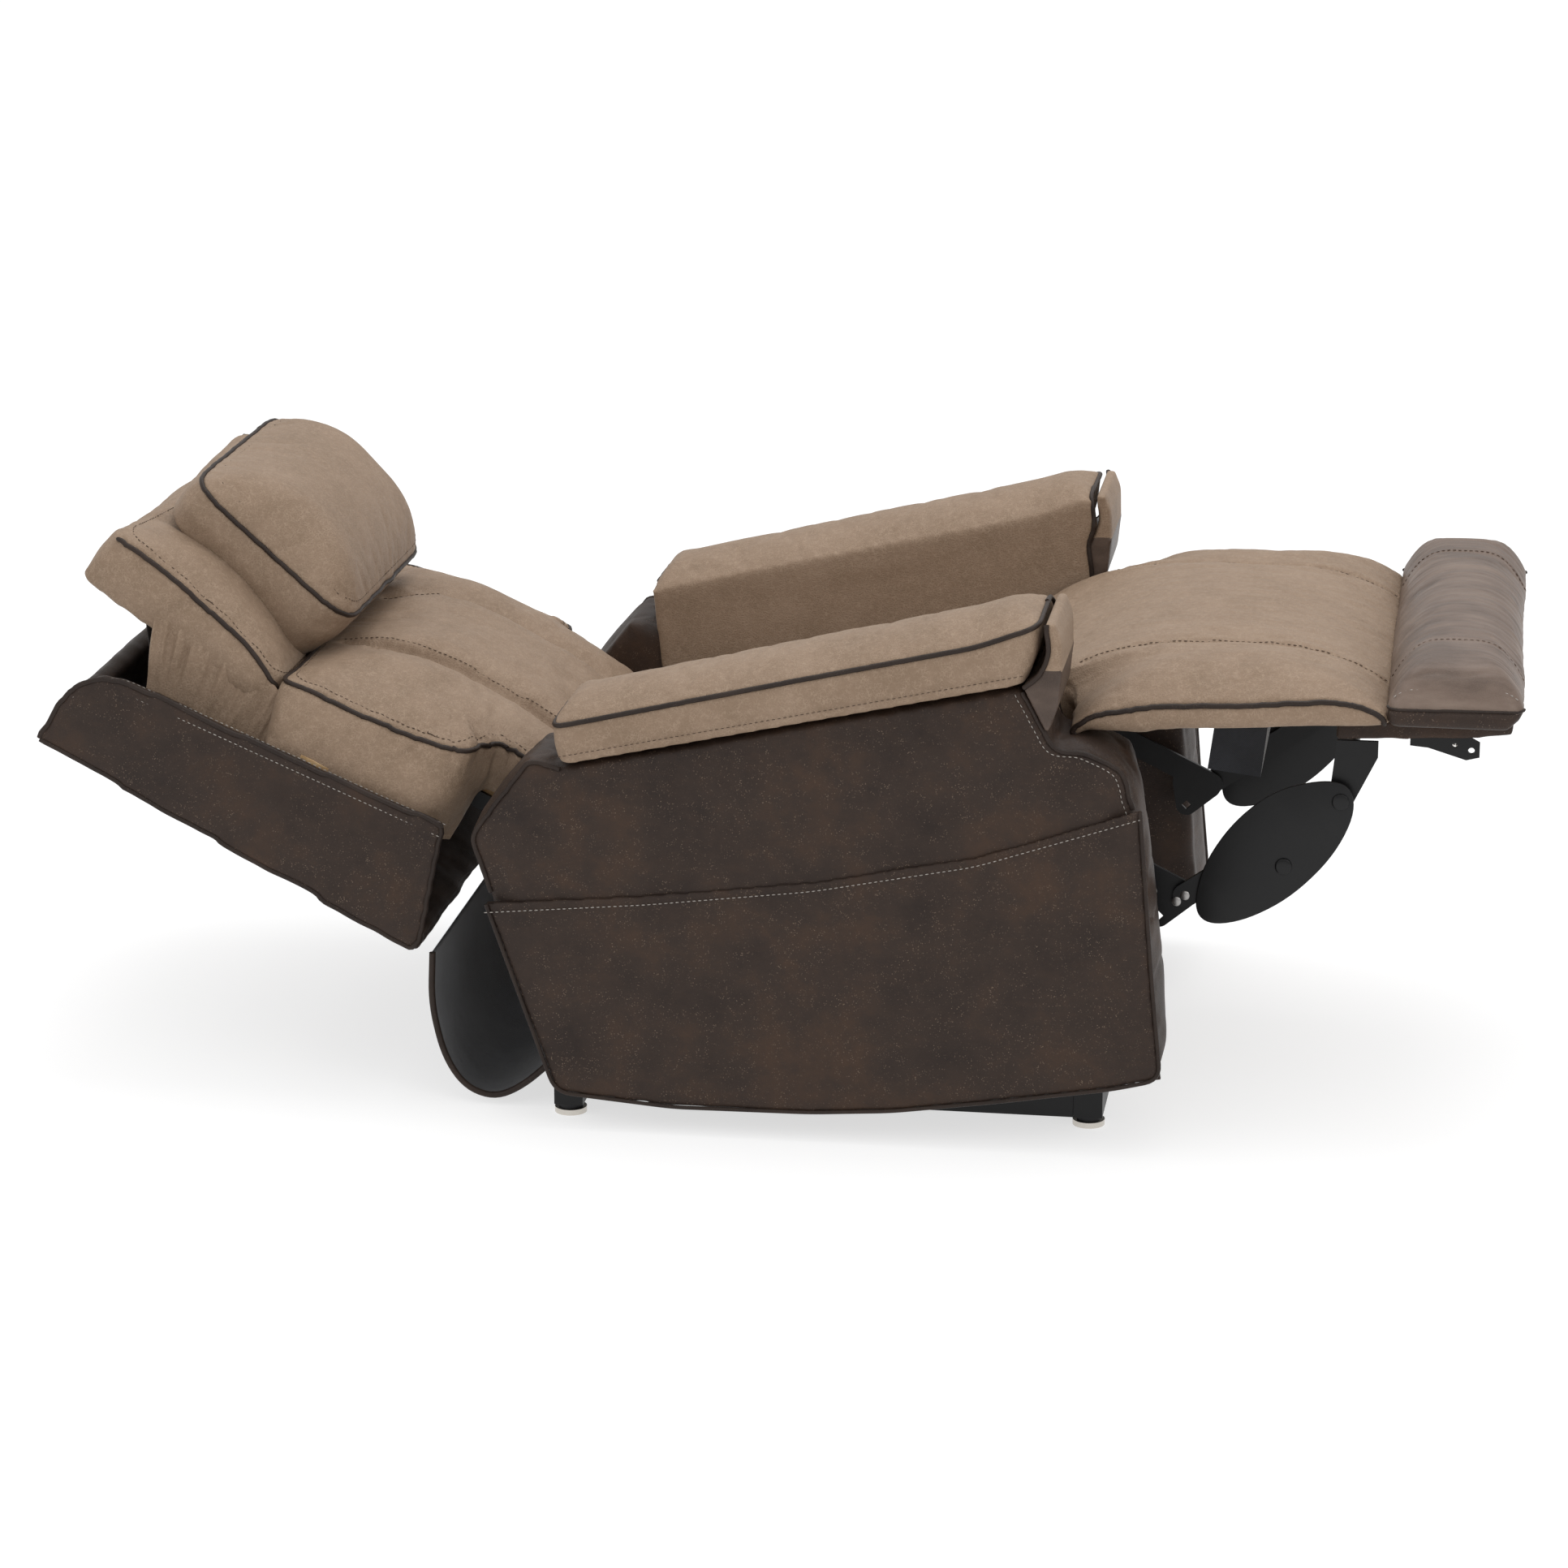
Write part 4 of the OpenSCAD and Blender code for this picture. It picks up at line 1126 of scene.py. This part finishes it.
ruche(roll, 0.0012, 0.013)
keep(roll, "footrest", "ruched_upholstery", 0.8, "footrest_bolster")
roll.data.materials.append(brown_cover)
for face in roll.data.polygons:
    if abs(face.center.y) > roll_y - 0.010 and face.center.z < 0.5555:
        face.material_index = 1
roll_pale = [on_face(roll, [(x, side * (roll_y - 0.012), 0.57) for x in np.linspace(roll_x[0] + 0.012,
    roll_x[1] - 0.014, 30)], 0.0004) for side in (-1, 1)]
roll_fine = [on_face(roll, line + (0, 0.004, 0), 0.0002) for line in roll_seams]
sew("roll_pale_stitches", roll_pale, pale_thread, on_seat, "footrest", "brown_upholstery")
sew("roll_seam_stitches", roll_fine, dark_thread, on_seat, "footrest", "ruched_upholstery")
trim("roll_end_seams", [seated(roll, [p for p in roll_rim if abs(p[1]) > roll_y - 0.02 and p[1] * side > 0],
    0.0004) for side in (-1, 1)], on_seat, "footrest", False, 0.0018)
print("roll faces", len(roll.data.polygons))

# %% [markdown]
# ## Arms
# Each arm is a padded brown box with a tan pad on top, a tan panel towards the seat, and an open
# pocket on its outer side. The right arm is made and the left one is its mirror.

# %% Arm bodies
body_in, body_out = -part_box("arm_body_right")[1].y, -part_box("arm_body_right")[0].y
arm_outline = [
    (-0.353, 0.367), (-0.277, 0.468), (-0.238, 0.457), (0.322, 0.579), (0.350, 0.528), (0.362, 0.504),
    (0.402, 0.504), (0.444, 0.484),
    (0.458, 0.437), (0.482, 0.240), (0.495, 0.104), (0.366, 0.080), (-0.243, 0.059),
]
arm_body = slab("arm_body_cover_right", arm_outline, -body_out + 0.002, -body_in - 0.002, brown_cover, 0.007, 5)
arm_edge = rounded([(x, -body_out + 0.0015, z) for x, z in arm_outline], 0.02, 0.006)
stuff(arm_body, [arm_edge], lambda p: p[:, 1] > -body_in - 0.03, 0.008, 2.0, -0.01)
arm_body = finer(arm_body)
rumple(arm_body, 0.0016, 0.12, 31)
rear_edge = between((-0.238, -body_out + 0.001, 0.462), (-0.279, -body_out + 0.001, 0.470),
    (-0.353, -body_out + 0.001, 0.367), (-0.328, -body_out + 0.001, 0.296))
front_edge = between((0.326, -body_out + 0.001, 0.578), (0.351, -body_out + 0.001, 0.528),
    (0.364, -body_out + 0.001, 0.505), (0.402, -body_out + 0.001, 0.505), (0.446, -body_out + 0.001, 0.485),
    (0.459, -body_out + 0.001, 0.436))
arm_left_body = mirrored(arm_body, "arm_body_cover_left")
keep(arm_body, "carriage", "brown_upholstery", 0.3, "arm_body_right")
keep(arm_left_body, "carriage", "brown_upholstery", 0.3, "arm_body_left")
print("arm faces", len(arm_body.data.polygons))

# %% Arm pads
pad_in, pad_out = arm_inner + 0.003, arm_outer - 0.003
pad_rim_line = [(-0.247, 0.512), (0.071, 0.586), (0.265, 0.630), (0.343, 0.660)]
pad_corners = [(x, -pad_out, z) for x, z in pad_rim_line] + [(x, -pad_in, z) for x, z in reversed(pad_rim_line)]
pad_rim = rounded(pad_corners, 0.022)


def pad_spine(p):
    x = float(np.clip(p[0], -0.205, 0.30))
    return (x, -(pad_in + pad_out) / 2, float(np.interp(x, [-0.25, 0.071, 0.265, 0.347],
        [0.512, 0.590, 0.636, 0.664])) + 0.022)


def pad_under(p):
    x = float(np.interp(p[0], [-0.247, 0.343], [-0.238, 0.326]))
    return (x, p[1], 0.463 + (x + 0.238) * 0.2185)


inner_outline = [(-0.225, 0.330), (-0.240, 0.456), (-0.246, 0.510), (0.071, 0.580), (0.265, 0.622),
    (0.342, 0.655), (0.350, 0.620), (0.340, 0.596), (0.350, 0.527), (0.360, 0.500), (0.360, 0.330),
    (0.150, 0.192), (-0.200, 0.192)]
inner_face = slab("arm_inner_face", inner_outline, -arm_inner - 0.022, -arm_inner - 0.0015, tan_cover, 0)
arm_pad = boxed("arm_pad_cover_right", pad_rim, pad_spine, pad_under, tan_cover, 2.4, 0.003)
arm_pad = relax(voxels(joined("arm_pad_cover_right", [arm_pad, inner_face]), 0.006), 2)
pad_outer_rim = np.array([p for p in pad_rim if p[1] < -(pad_in + 0.02)])
stuff(arm_pad, [pad_outer_rim], lambda p: (p[:, 2] < 0.470 + (p[:, 0] + 0.238) * 0.2185) | (p[:,
    1] > -arm_inner - 0.006), 0.010, 4.0)
arm_pad = finer(arm_pad)
groove(arm_pad, [pad_outer_rim], 0.002, 0.004)
folds(arm_pad, pad_outer_rim, 0.04, 0.0008, 0.03, 37)
pad_low_seam = np.array([(p[0], p[1] - 0.0035,
    0.470 + (p[0] + 0.238) * 0.2185) for p in between((-0.236, -pad_out, 0), (0.322, -pad_out, 0))])
left_pad = mirrored(arm_pad, "arm_pad_cover_left")
keep(arm_pad, "carriage", "tan_upholstery", 0.7, "arm_pad_right", "arm_inner_panels")
keep(left_pad, "carriage", "tan_upholstery", 0.7, "arm_pad_left")
flip = np.array((1, -1, 1))
pad_cord = between((-0.241, -pad_in - 0.05, 0.512), (-0.244, -pad_out + 0.001, 0.512),
    (0.071, -pad_out + 0.001, 0.586), (0.265, -pad_out + 0.001, 0.630), (0.340, -pad_out + 0.001, 0.658),
    (0.341, -pad_in - 0.03, 0.660))
inner_cord = between((0.340, -pad_in - 0.05, 0.661), (0.341, -arm_inner - 0.005, 0.658),
    (0.347, -arm_inner - 0.004, 0.622), (0.338, -arm_inner - 0.004, 0.596), (0.347, -arm_inner - 0.004, 0.527),
    (0.357, -arm_inner - 0.004, 0.500))
pad_cord, inner_cord = seated(arm_pad, pad_cord), seated(arm_pad, inner_cord)
trim("arm_pad_piping", [pad_cord, pad_cord * flip, inner_cord, inner_cord * flip], on_seat, "carriage")
sew("arm_pad_stitches", [pad_low_seam + (0, 0, 0.006), (pad_low_seam + (0, 0, 0.006)) * flip], dark_thread,
    on_seat, "carriage")
print("arm pad faces", len(arm_pad.data.polygons))

# %% Brown arm fronts
front_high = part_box("arm_fronts")[1]
front_outline = [(0.322, 0.584), (0.343, 0.600), (0.352, 0.625), (0.348, 0.662), (0.360, 0.662), (0.369, 0.640),
    (0.370, 0.600), (0.366, 0.562), (0.356, 0.530), (0.350, 0.530)]
arm_front = slab("arm_front_cover_right", front_outline, -front_high.y + 0.002, -arm_inner - 0.004,
    smooth_brown, 0.005, 4)
arm_front = finer(arm_front)
arm_front.data.materials.append(tan_cover)
for face in arm_front.data.polygons:
    if face.center.z > 0.604:
        face.material_index = 1
keep(mirrored(arm_front, "arm_front_cover_left"), "carriage", "brown_upholstery")
keep(arm_front, "carriage", "brown_upholstery", None, "arm_fronts")
front_trim = between((0.322, -front_high.y + 0.001, 0.582), (0.344, -front_high.y + 0.001, 0.600),
    (0.353, -front_high.y + 0.001, 0.627), (0.348, -front_high.y + 0.001, 0.664))
front_trim = seated(arm_front, front_trim)
trim("arm_front_piping", [front_trim, front_trim * flip], on_seat, "carriage")
print("panels made")

# %% Side pockets
pocket_outline = [
    (-0.329, 0.286), (-0.130, 0.305), (0.072, 0.331), (0.270, 0.371), (0.466, 0.438), (0.483, 0.240),
    (0.497, 0.102), (0.438, 0.087),
    (0.300, 0.064), (0.171, 0.045), (0.071, 0.038), (-0.100, 0.036), (-0.246, 0.048),
]
pocket_face = -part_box("pocket_sheet_right")[0].y
pocket = slab("pocket_cover_right", pocket_outline, -pocket_face + 0.001, -pocket_face + 0.0065, brown_cover, 0,
    0)
pocket = voxels(pocket, 0.0035)
pocket_points = points_of(pocket)
pocket_edge = rounded([(x, -pocket_face + 0.004, z) for x, z in pocket_outline], 0.012)
pocket_away, _ = nearness(pocket_points, pocket_edge)
pocket_bow = np.clip(pocket_away / 0.09, 0, 1) ** 0.6
move_points(pocket, pocket_points - np.stack([0 * pocket_bow, 0.0035 * pocket_bow, 0 * pocket_bow], 1))
rumple(pocket, 0.0014, 0.10, 41)
pocket_hem = between(*[(x, -pocket_face - 0.0012, z - 0.004) for x, z in pocket_outline[:5]])
pocket_side = between(*[(x, -pocket_face - 0.0005, z) for x,
    z in [pocket_outline[i] for i in (0, 12, 11, 10, 9, 8, 7, 6, 5, 4)]])
keep(mirrored(pocket, "pocket_cover_left"), "carriage", "brown_upholstery", None, "pocket_sheet_left")
keep(pocket, "carriage", "brown_upholstery", None, "pocket_sheet_right")
for welt_slot in frame["nodes"]["pocket_welts"].material_slots:
    welt_slot.material = brown_cover
rear_edge, front_edge = seated(arm_body, rear_edge), seated(arm_body, front_edge)
trim("arm_edge_piping", [rear_edge, rear_edge * flip, front_edge, front_edge * flip], on_seat, "carriage",
    False, 0.0032)
trim("pocket_piping", [pocket_side, pocket_side * flip], on_seat, "carriage", False, 0.0026)
hem_thread = pocket_hem - (0, 0.0012, 0.006)
front_thread = front_edge + (-0.008, -0.0035, -0.004)
sew("arm_pale_stitches", [line * side for line in (hem_thread, front_thread) for side in (np.ones(3), flip)],
    pale_thread, on_seat, "carriage", "brown_upholstery")
print("pocket faces", len(pocket.data.polygons))

# %% [markdown]
# ## Outer back shell
# The shell is a shallow tray of distressed cover: two deep wings, a back and a soft top edge. It
# is one upholstered skin, so the four blocks are fused, softened and topstitched along the front.

# %% Back shell
shell_y = shell_half - 0.002
wing_outline = [(0.080, -0.186), (0.619, -0.163), (0.615, -0.110), (0.602, -0.078), (0.582, -0.055),
    (0.553, -0.044), (0.121, -0.022)]
panel_outline = [(0.079, -0.186), (0.619, -0.163), (0.618, -0.146), (0.082, -0.170)]
top_outline = [(0.617, -0.160), (0.614, -0.110), (0.600, -0.080), (0.577, -0.080), (0.577, -0.150)]
blocks = [slab("wing", wing_outline, s * shell_y if s < 0 else shell_y - 0.022,
    -shell_y + 0.022 if s < 0 else shell_y, brown_cover, 0) for s in (-1, 1)]
blocks += [slab("panel", panel_outline, -shell_y, shell_y, brown_cover, 0),
    slab("top", top_outline, -shell_y + 0.01, shell_y - 0.01, brown_cover, 0)]
shell = relax(voxels(joined("back_shell_cover", blocks), 0.006), 2)
shell_points, shell_normals = points_of(shell), normals_of(shell)
outer = np.clip((np.abs(shell_points[:, 1]) - shell_y + 0.006) / 0.004, 0,
    1) * (np.abs(shell_normals[:, 1]) > 0.6)
wing_line = rounded([(u, 0, w) for u, w in wing_outline], 0.015)
flat_shell = shell_points * (1, 0, 1)
wing_away, _ = nearness(flat_shell, wing_line)
move_points(shell, shell_points + np.stack([0 * outer,
    np.sign(shell_points[:, 1]) * outer * 0.004 * np.clip(wing_away / 0.06, 0, 1) ** 0.6, 0 * outer], 1))
shell = finer(shell)
rumple(shell, 0.0022, 0.10, 51)
front_run = [(0.121, -0.0235), (0.552, -0.0460), (0.580, -0.0575), (0.600, -0.0800), (0.613, -0.111),
    (0.6160, -0.160)]
front_edges = [between(*[(u, side * (shell_y - 0.0025), w) for u, w in front_run]) for side in (-1, 1)]
wing_rear = [between(*[(u, side * (shell_y - 0.002), w) for u,
    w in ((0.6160, -0.161), (0.083, -0.1835), (0.121, -0.0240))]) for side in (-1, 1)]
shell_threads = [between(*[(u, side * (shell_y + 0.0012), w - 0.011) for u,
    w in front_run[:4]]) for side in (-1, 1)]
shell_threads += [between(*[(u, side * (shell_y - 0.010), w + 0.0025) for u,
    w in front_run[:4]]) for side in (-1, 1)]
front_edges = [seated(shell, line) for line in front_edges]
wing_rear = [seated(shell, line) for line in wing_rear]
rear_threads = [between(*[(u, side * 0.30, -0.1885 + (u - 0.08) * 0.0427) for u in (0.09,
    0.60)]) for side in (-1, 1)]
keep(placed(shell, on_back), "back", "brown_upholstery", None, "back_panel", "back_wings", "back_top_rail")
trim("back_shell_piping", front_edges + wing_rear, on_back, "back", False, 0.0034)
sew("back_shell_stitches", shell_threads + rear_threads, pale_thread, on_back, "back", "brown_upholstery")
print("shell faces", len(shell.data.polygons))

# %% [markdown]
# ## Neck and side gathers
# Between the headrest and the shell the tan cover hangs in soft upright folds, and a dark lining
# closes the gap behind it. Both cross the headrest hinge and are attached to no body, so neither bends with it.

# %% Side gathers


def gusset(name, side, finish):
    top = [on_head(p, 0, q) for p, q in ((0.004, 0.024), (0.06, 0.026), (0.12, 0.028), (0.18, 0.020),
        (0.235, 0.008))]
    foot = [on_back(u, 0, w) for u, w in ((0.36, -0.085), (0.41, -0.088), (0.455, -0.09), (0.495, -0.085),
        (0.525, -0.075))]
    columns, rows = 84, 30
    points = []
    for i in range(columns):
        s = i / (columns - 1)
        at = [float(np.interp(s * 4, range(5), [p[k] for p in top])) for k in (0, 2)]
        to = [float(np.interp(s * 4, range(5), [p[k] for p in foot])) for k in (0, 2)]
        for j in range(rows):
            t = j / (rows - 1)
            fold = noise.noise((s * 11, t * 0.8, side * 3)) + 0.45 * noise.noise((s * 26, t * 1.2, side * 5))
            depth = 0.012 * math.sin(math.pi * min(1, t * 1.15 + 0.08)) * fold
            tuck = -0.014 * t ** 1.6
            points.append((at[0] * (1 - t) + to[0] * t, side * (head_half - 0.004 - tuck + depth),
                at[1] * (1 - t) + to[1] * t))
    faces = [[i * rows + j, (i + 1) * rows + j, (i + 1) * rows + j + 1,
        i * rows + j + 1] for i in range(columns - 1) for j in range(rows - 1)]
    if side > 0:
        faces = [face[::-1] for face in faces]
    piece = piece_from(name, points, faces, finish)
    wall = piece.modifiers.new("wall", "SOLIDIFY")
    wall.thickness = 0.004
    wall.offset = -1
    return finer(baked(piece))


def across_neck(piece):
    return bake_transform(piece, "back", "headrest", start=on_back(0.44, 0, -0.08), end=on_head(0.09, 0, 0.03))


gathers = [gusset("neck_gathers_" + word, side, tan_cover) for word, side in (("right", -1), ("left", 1))]
for gather in gathers:
    keep(gather, None, "tan_upholstery", 0.1)
    across_neck(gather)

# %% Neck lining
lining_rows = [(0.30, -0.062), (0.40, -0.10), (0.46, -0.11), (0.500, -0.10)]
lining_top = [(0.06, -0.046), (0.12, -0.050), (0.17, -0.054), (0.205, -0.056)]
lining_points = []
for i in range(40):
    s = i / 39 * 3
    low_at = on_back(float(np.interp(s, range(4), [r[0] for r in lining_rows])), 0,
        float(np.interp(s, range(4), [r[1] for r in lining_rows])))
    top_at = on_head(float(np.interp(s, range(4), [r[0] for r in lining_top])), 0,
        float(np.interp(s, range(4), [r[1] for r in lining_top])))
    lining_points.append((low_at, top_at))
lining_mesh, lining_faces = [], []
lining_cols = 61
for j in range(lining_cols):
    y = -0.285 + 0.57 * j / (lining_cols - 1)
    low_at, top_at = lining_points[-1]
    for k in range(16):
        t = k / 15
        crease = 0.008 * noise.noise((y * 22, t * 2, 9.0)) * math.sin(math.pi * t)
        lining_mesh.append((low_at[0] * (1 - t) + top_at[0] * t + crease, y,
            low_at[2] * (1 - t) + top_at[2] * t + crease))
lining_faces = [[j * 16 + k, j * 16 + k + 1, (j + 1) * 16 + k + 1,
    (j + 1) * 16 + k] for j in range(lining_cols - 1) for k in range(15)]
lining = piece_from("neck_lining", lining_mesh, lining_faces, dark_lining)
lining_wall = lining.modifiers.new("wall", "SOLIDIFY")
lining_wall.thickness = 0.002
lining = baked(lining)
keep(lining, None, "black_cloth")
across_neck(lining)
print("gathers and lining made")

# %% [markdown]
# ## Rear flap
# A cloth apron closes the gap under the back. It hangs in a loop from the shell's lower edge to the
# rail behind the seat, bound with brown tape along both sides.

# %% Rear flap
flap_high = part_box("rear_flap")[1]
flap_path = rounded([(-0.414, 0, 0.196), (-0.417, 0, 0.13), (-0.402, 0, 0.062), (-0.376, 0, 0.022),
    (-0.338, 0, 0.009), (-0.300, 0, 0.028), (-0.258, 0, 0.068)], 0.03, 0.006, closed=False)
flap_half = flap_high.y - 0.003
flap_columns = 121
flap_points = []
for j in range(flap_columns):
    y = -flap_half + 2 * flap_half * j / (flap_columns - 1)
    for k, (x, _, z) in enumerate(flap_path):
        t = k / (len(flap_path) - 1)
        sway = 0.006 * noise.noise((y * 9, t * 3, 4.0)) * math.sin(math.pi * t)
        flap_points.append((x + sway, y, max(0.008, z + abs(sway) * 0.5)))
flap_rows = len(flap_path)
flap_faces = [[j * flap_rows + k, (j + 1) * flap_rows + k, (j + 1) * flap_rows + k + 1,
    j * flap_rows + k + 1] for j in range(flap_columns - 1) for k in range(flap_rows - 1)]
flap = piece_from("rear_flap_cloth", flap_points, flap_faces, black_cloth)
flap_wall = flap.modifiers.new("wall", "SOLIDIFY")
flap_wall.thickness = 0.0025
flap_wall.offset = 0
flap = baked(flap)
keep(flap, None, "black_cloth", None, "rear_flap")
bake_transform(flap)
flap_sides = [flap_path + (0, side * flap_half, 0) for side in (-1, 1)]
binding = trim("rear_flap_binding", flap_sides, on_seat, None, False, 0.0042)
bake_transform(binding)

# %% [markdown]
# ## Footrest underside
# A brown wrapped board sits under the end roll.

# %% Wrapped board
wrap_low, wrap_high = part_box("end_board")
wrap_half = wrap_high.y - 0.001
wrap_outline = [(wrap_low.x + 0.001, wrap_low.z + 0.001), (wrap_high.x - 0.002, wrap_high.z - 0.0235),
    (wrap_high.x - 0.001, wrap_high.z - 0.001), (wrap_low.x + 0.001, wrap_low.z + 0.0235)]
wrap = finer(slab("end_board_cover", wrap_outline, -wrap_half, wrap_half, brown_cover, 0.005, 1))
rumple(wrap, 0.0014, 0.06, 61)
keep(wrap, "footrest", "brown_upholstery", None, "end_board")
print("wrapped board faces", len(wrap.data.polygons))

# %% Rivets and bolt heads
plate_out = -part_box("side_plates")[0].y
drive_out = -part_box("drive_link")[0].y
shield_out = -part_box("oval_shields")[0].y
knee, drive, foot = hinge["shield_link_turn"], hinge["drive_link_turn"], hinge["footrest"]


def rivets(name, places, body, finish=dull_plate, **sizes):
    heads = grow(name, riveting, [[p] for p in places], finish, **sizes)
    return keep(heads, body, "bright_steel")


def paired(*places):
    return [(x, side * y, z) for x, y, z in places for side in (-1, 1)]


rivets("carriage_rivets", paired((drive[0], plate_out + 0.0005, drive[2]),
    (hinge["back"][0], plate_out + 0.0005, hinge["back"][2])), "carriage", Radius=0.0095, Height=0.0032)
rivets("drive_rivets", paired((knee[0], drive_out, knee[2]), (0.470, drive_out, 0.284),
    (0.500, drive_out, 0.272)), "drive_links", Radius=0.0062, Height=0.0022)
rivets("shield_rivets", paired((0.697, shield_out - 0.001, 0.409), (0.630, shield_out - 0.001, 0.324)),
    "shield_links", black_gloss, Radius=0.0105, Height=0.0016)
print("rivets made")

# %% Oval shields: a smooth lens of black sheet with a rounded rim
lens = rounded([(0.521, -0.262, 0.2635), (0.540, -0.262, 0.244), (0.585, -0.262, 0.252), (0.640, -0.262, 0.284),
    (0.690, -0.262, 0.338), (0.716, -0.262, 0.395),
                (0.708, -0.262, 0.432), (0.672, -0.262, 0.436), (0.615, -0.262, 0.420), (0.565, -0.262, 0.376),
                (0.530, -0.262, 0.318)], 0.035, 0.004)
lens[:, 1] = -shield_out + 0.0025
shield_plate = slab("oval_shields_cover", [(x, z) for x, _, z in lens], -shield_out + 0.0025,
    -shield_out + 0.0055, black_coat, 0)
rim_round = shield_plate.modifiers.new("rim", "BEVEL")
rim_round.width = 0.0012
rim_round.segments = 2
shield_plate = baked(shield_plate)
shield_plate.data.shade_smooth()
shield_pair = joined("oval_shields_cover", [shield_plate, mirrored(shield_plate, "oval_shields_left")])
keep(shield_pair, "shield_links", "black_steel", None, "oval_shields")
print("shields made")

# %% End springs: close-wound coils
spring_low, spring_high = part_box("end_springs")
coil_radius = 0.0042
for word, side in (("right", -1), ("left", 1)):
    y_at = side * (spring_high.y - 0.005)
    turns, start_x, end_x = 13, spring_low.x + 0.004, spring_high.x - 0.004
    rise = (spring_high.z - spring_low.z - 0.010) / (end_x - start_x)
    coil = []
    for k in range(turns * 14 + 1):
        turn = k / 14 * 2 * math.pi
        x = start_x + (end_x - start_x) * k / (turns * 14)
        z = spring_high.z - 0.005 - rise * (x - start_x)
        coil.append((x, y_at + coil_radius * math.cos(turn), z + coil_radius * math.sin(turn)))
    spring = grow("end_spring_" + word, piping, [coil], bright_plate, Radius=0.0008)
    keep(spring, "footrest", "bright_steel", None, *(["end_springs"] if side < 0 else []))
print("springs made")

# %% [markdown]
# ## Stage and light
# A pale floor that runs out of view, a bright plain world and three big soft lights give an even
# light with a faint contact shadow, which lets the colours of the covers speak for themselves.

# %% Floor
pale_floor = Finish("pale_floor", Roughness=0.9, Specular_IOR_Level=0.1, Emission_Color=(1, 1, 1, 1),
    Emission_Strength=0.66)
pale_floor.feed(Base_Color=pale_floor.ramp(pale_floor.noise(0.4, 2), (0.3, (0.40, 0.40, 0.40)),
    (0.7, (0.42, 0.42, 0.42))))
floor = piece_from("floor", [(-40, -40, 0), (40, -40, 0), (40, 80, 0), (-40, 80, 0)], [[0, 1, 2, 3]],
    pale_floor.material, False)

# %% Lights
world = bpy.data.worlds.new("studio")
world.use_nodes = True
sky = world.node_tree
sky_way = sky.nodes.new("ShaderNodeTexCoord")
sky_split = sky.nodes.new("ShaderNodeSeparateXYZ")
sky_ramp = sky.nodes.new("ShaderNodeValToRGB")
for stop, (position, level) in zip(sky_ramp.color_ramp.elements, ((0.0, 0.42), (0.75, 1.0))):
    stop.position = position
    stop.color = (level, level, level, 1)
sky.links.new(sky_way.outputs["Generated"], sky_split.inputs["Vector"])
sky.links.new(sky_split.outputs["Z"], sky_ramp.inputs["Fac"])
sky.links.new(sky_ramp.outputs["Color"], sky.nodes["Background"].inputs["Color"])
sky.nodes["Background"].inputs["Strength"].default_value = 1.1
bpy.context.scene.world = world


def soft_light(name, place, aim, size, power):
    data = bpy.data.lights.new(name, "AREA")
    data.shape = "DISK"
    data.size = size
    data.energy = power
    light = bpy.data.objects.new(name, data)
    light.location = place
    light.rotation_euler = (Vector(place) - Vector(aim)).to_track_quat("Z", "Y").to_euler()
    bpy.context.scene.collection.objects.link(light)


soft_light("top_light", (0.3, 0.6, 3.6), (0, 0, 0.4), 3.0, 42)
soft_light("front_light", (2.6, -2.6, 2.2), (0.1, 0, 0.4), 1.8, 15)
soft_light("side_light", (-2.4, -3.2, 1.8), (-0.2, 0, 0.4), 1.8, 11)
bpy.context.scene.view_settings.view_transform = "Standard"
print("lights set")
